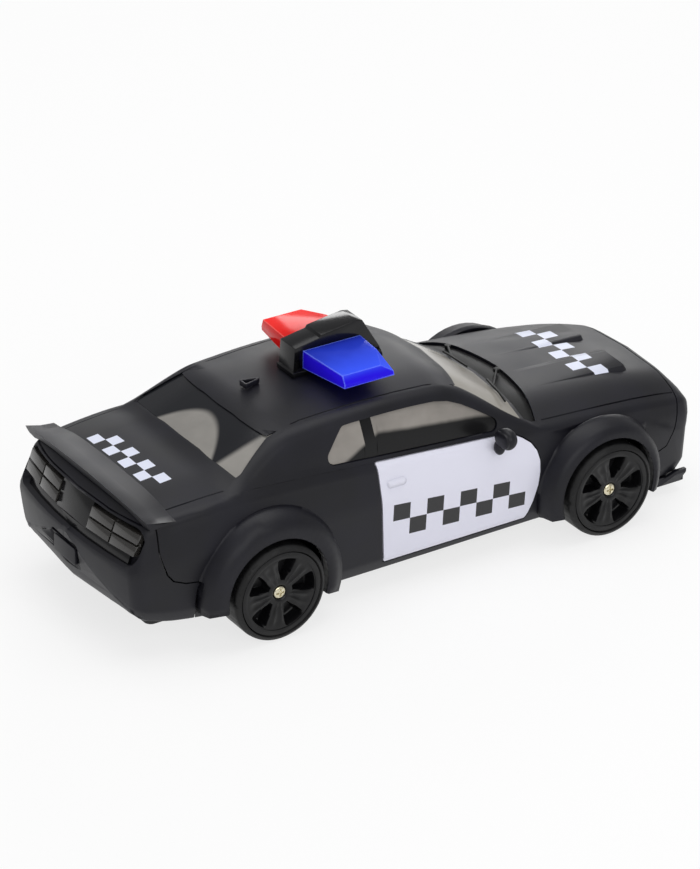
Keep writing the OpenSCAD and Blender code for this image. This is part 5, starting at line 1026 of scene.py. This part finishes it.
def face_height(r, turn):
    from_spoke = (turn + 180 / SPOKES) % (360 / SPOKES) - 180 / SPOKES
    ridges = max(math.exp(-((from_spoke - s * RIDGE_AT) / RIDGE_WIDE) ** 2) for s in (-1, 1))
    hollow = ease((r - HOLLOW_FROM) / HOLLOW_RUN) * ease((HOLLOW_TO - r) / HOLLOW_RUN) * (1 - ridges)
    top = along(ridge_top, r) - HOLLOW_DEEP * hollow
    off = (turn - POCKET_AT + 180 / SPOKES) % (360 / SPOKES) - 180 / SPOKES
    wide = POCKET_HALF + POCKET_GROWS * ease((r - GROW_FROM) / GROW_RUN)
    wall = ease((wide - abs(off)) / POCKET_WALLS[0 if off < 0 else 1])
    pocket = wall * ease((r - POCKET_R0) / POCKET_RUNS[0]) * ease((POCKET_R1 - r) / POCKET_RUNS[1])
    return top + (POCKET_DEEP - top) * pocket


print("a spoke stands", round(face_height(HOLLOW_TO - HOLLOW_RUN, 0) - POCKET_DEEP, 1), "mm over its pockets")

# %% [markdown]
# One face is modelled for each wheel, at its own place and with its outer side outwards. It rides on the
# same body as its rim, so it turns and steers with it.

# %% Wheel faces
WHEEL_X = {"front": 84.0, "rear": -76.0}
WHEEL_Y, WHEEL_Z, RIM_TURN = 59.5, 20.7, 26
FACE_R0, FACE_R1, FACE_TURNS, FACE_RINGS = 3.05, 15.85, 240, 26
FACE_JOIN_MM, FACE_TURN = 0.005, 50


def wheel_face(place, end, side):
    deselect()
    bpy.ops.mesh.primitive_grid_add(x_subdivisions=FACE_TURNS, y_subdivisions=FACE_RINGS, size=1)
    piece = bpy.context.active_object
    piece.name = "rim_face_" + place
    turn = Matrix.Rotation(math.radians(-90 * side), 4, "X") @ Matrix.Rotation(
        math.radians(RIM_TURN * side), 4, "Z")
    centre = Matrix.Translation(Vector((WHEEL_X[end], side * WHEEL_Y, WHEEL_Z)) * MM)
    for v in piece.data.vertices:
        angle = (v.co.x + 0.5) * 360
        r = FACE_R0 + (FACE_R1 - FACE_R0) * (v.co.y + 0.5)
        a = math.radians(angle)
        v.co = centre @ turn @ (Vector((r * math.cos(a), r * math.sin(a), face_height(r, angle))) * MM)
    only(piece)
    bpy.ops.object.mode_set(mode="EDIT")
    bpy.ops.mesh.select_all(action="SELECT")
    bpy.ops.mesh.remove_doubles(threshold=FACE_JOIN_MM * MM)
    bpy.ops.object.mode_set(mode="OBJECT")
    outward = sum(f.normal.y for f in piece.data.polygons) * side
    if outward < 0:
        piece.data.flip_normals()
    bpy.ops.object.shade_smooth_by_angle(angle=math.radians(FACE_TURN))
    piece.data.materials.append(finishes["rim_black"])
    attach(piece, body_of_node["rim_" + place])
    return piece


for end in ("front", "rear"):
    for name, side in (("left", 1), ("right", -1)):
        piece = wheel_face(end + "_" + name, end, side)
        print(piece.name, len(piece.data.polygons), "faces")

# %% [markdown]
# The toy stands on a white sheet in even studio light. The sheet shows as white to the camera, and to
# gloss and glass, yet it still takes part of the car's shadow: its paper is mixed with a plain white glow
# that only those rays see.

# %% Floor
SHEET_M, SHEET_GLOW = 6, 0.75
bpy.ops.mesh.primitive_plane_add(size=SHEET_M)
floor = bpy.context.active_object
floor.name = "studio_floor"
# White paper sheet: matte, a touch grey in the shadow
sheet = new_finish("white_paper_sheet")
path = put(sheet, "LightPath")
seen = put(sheet, "Math", [(path, "Is Camera Ray"), (path, "Is Glossy Ray")], operation="MAXIMUM")
seen = put(sheet, "Math", [seen, (path, "Is Transmission Ray")], operation="MAXIMUM")
share = put(sheet, "Math", [seen, SHEET_GLOW], operation="MULTIPLY")
paper = put(sheet, "BsdfDiffuse", {"Color": to_linear("#f4f4f4")})
glow = put(sheet, "Emission", {"Color": to_linear("#ffffff"), "Strength": 1.0})
put(sheet, "OutputMaterial", [put(sheet, "MixShader", [share, paper, glow])])
floor.data.materials.append(sheet)
print("floor of", SHEET_M, "m")

# %% [markdown]
# The sky is a dim white dome that fills the shadows. The camera sees it as a plain white backdrop.

# %% Sky
DOME_LEVEL, BACKDROP_LEVEL = 0.45, 1.0
world = bpy.data.worlds.new("studio")
bpy.context.scene.world = world
world.use_nodes = True
world.node_tree.nodes.clear()
path = put(world, "LightPath")
seen = put(world, "Math", [(path, "Is Camera Ray"), (path, "Is Transmission Ray")], operation="MAXIMUM")
dome, backdrop = (put(world, "Background", {"Color": to_linear("#ffffff"), "Strength": level})
                  for level in (DOME_LEVEL, BACKDROP_LEVEL))
put(world, "OutputWorld", [put(world, "MixShader", [seen, dome, backdrop])])
print("dome at", DOME_LEVEL)

# %% [markdown]
# Three large soft lamps do the work of the studio's panels: one overhead, one on the near side and a
# narrower one beyond the nose, which draws the light along the bonnet. Each looks at the car's middle.

# %% Light
LAMPS = (("top_panel", (0.1, 0.1, 1.3), (1.3, 1.0), 9),
         ("right_panel", (-0.3, -1.4, 0.9), (1.4, 0.9), 8),
         ("left_panel", (1.15, 1.45, 0.62), (1.0, 0.5), 7))
for name, place, size, watts in LAMPS:
    lamp = bpy.data.objects.new(name, bpy.data.lights.new(name, "AREA"))
    bpy.context.scene.collection.objects.link(lamp)
    lamp.data.shape = "RECTANGLE"
    lamp.data.size, lamp.data.size_y = size
    lamp.data.energy = watts
    lamp.location = place
    lamp.rotation_euler = (-Vector(place)).to_track_quat("-Z", "Y").to_euler()
bpy.context.scene.view_settings.view_transform = "Standard"
print(len(LAMPS), "lamps")
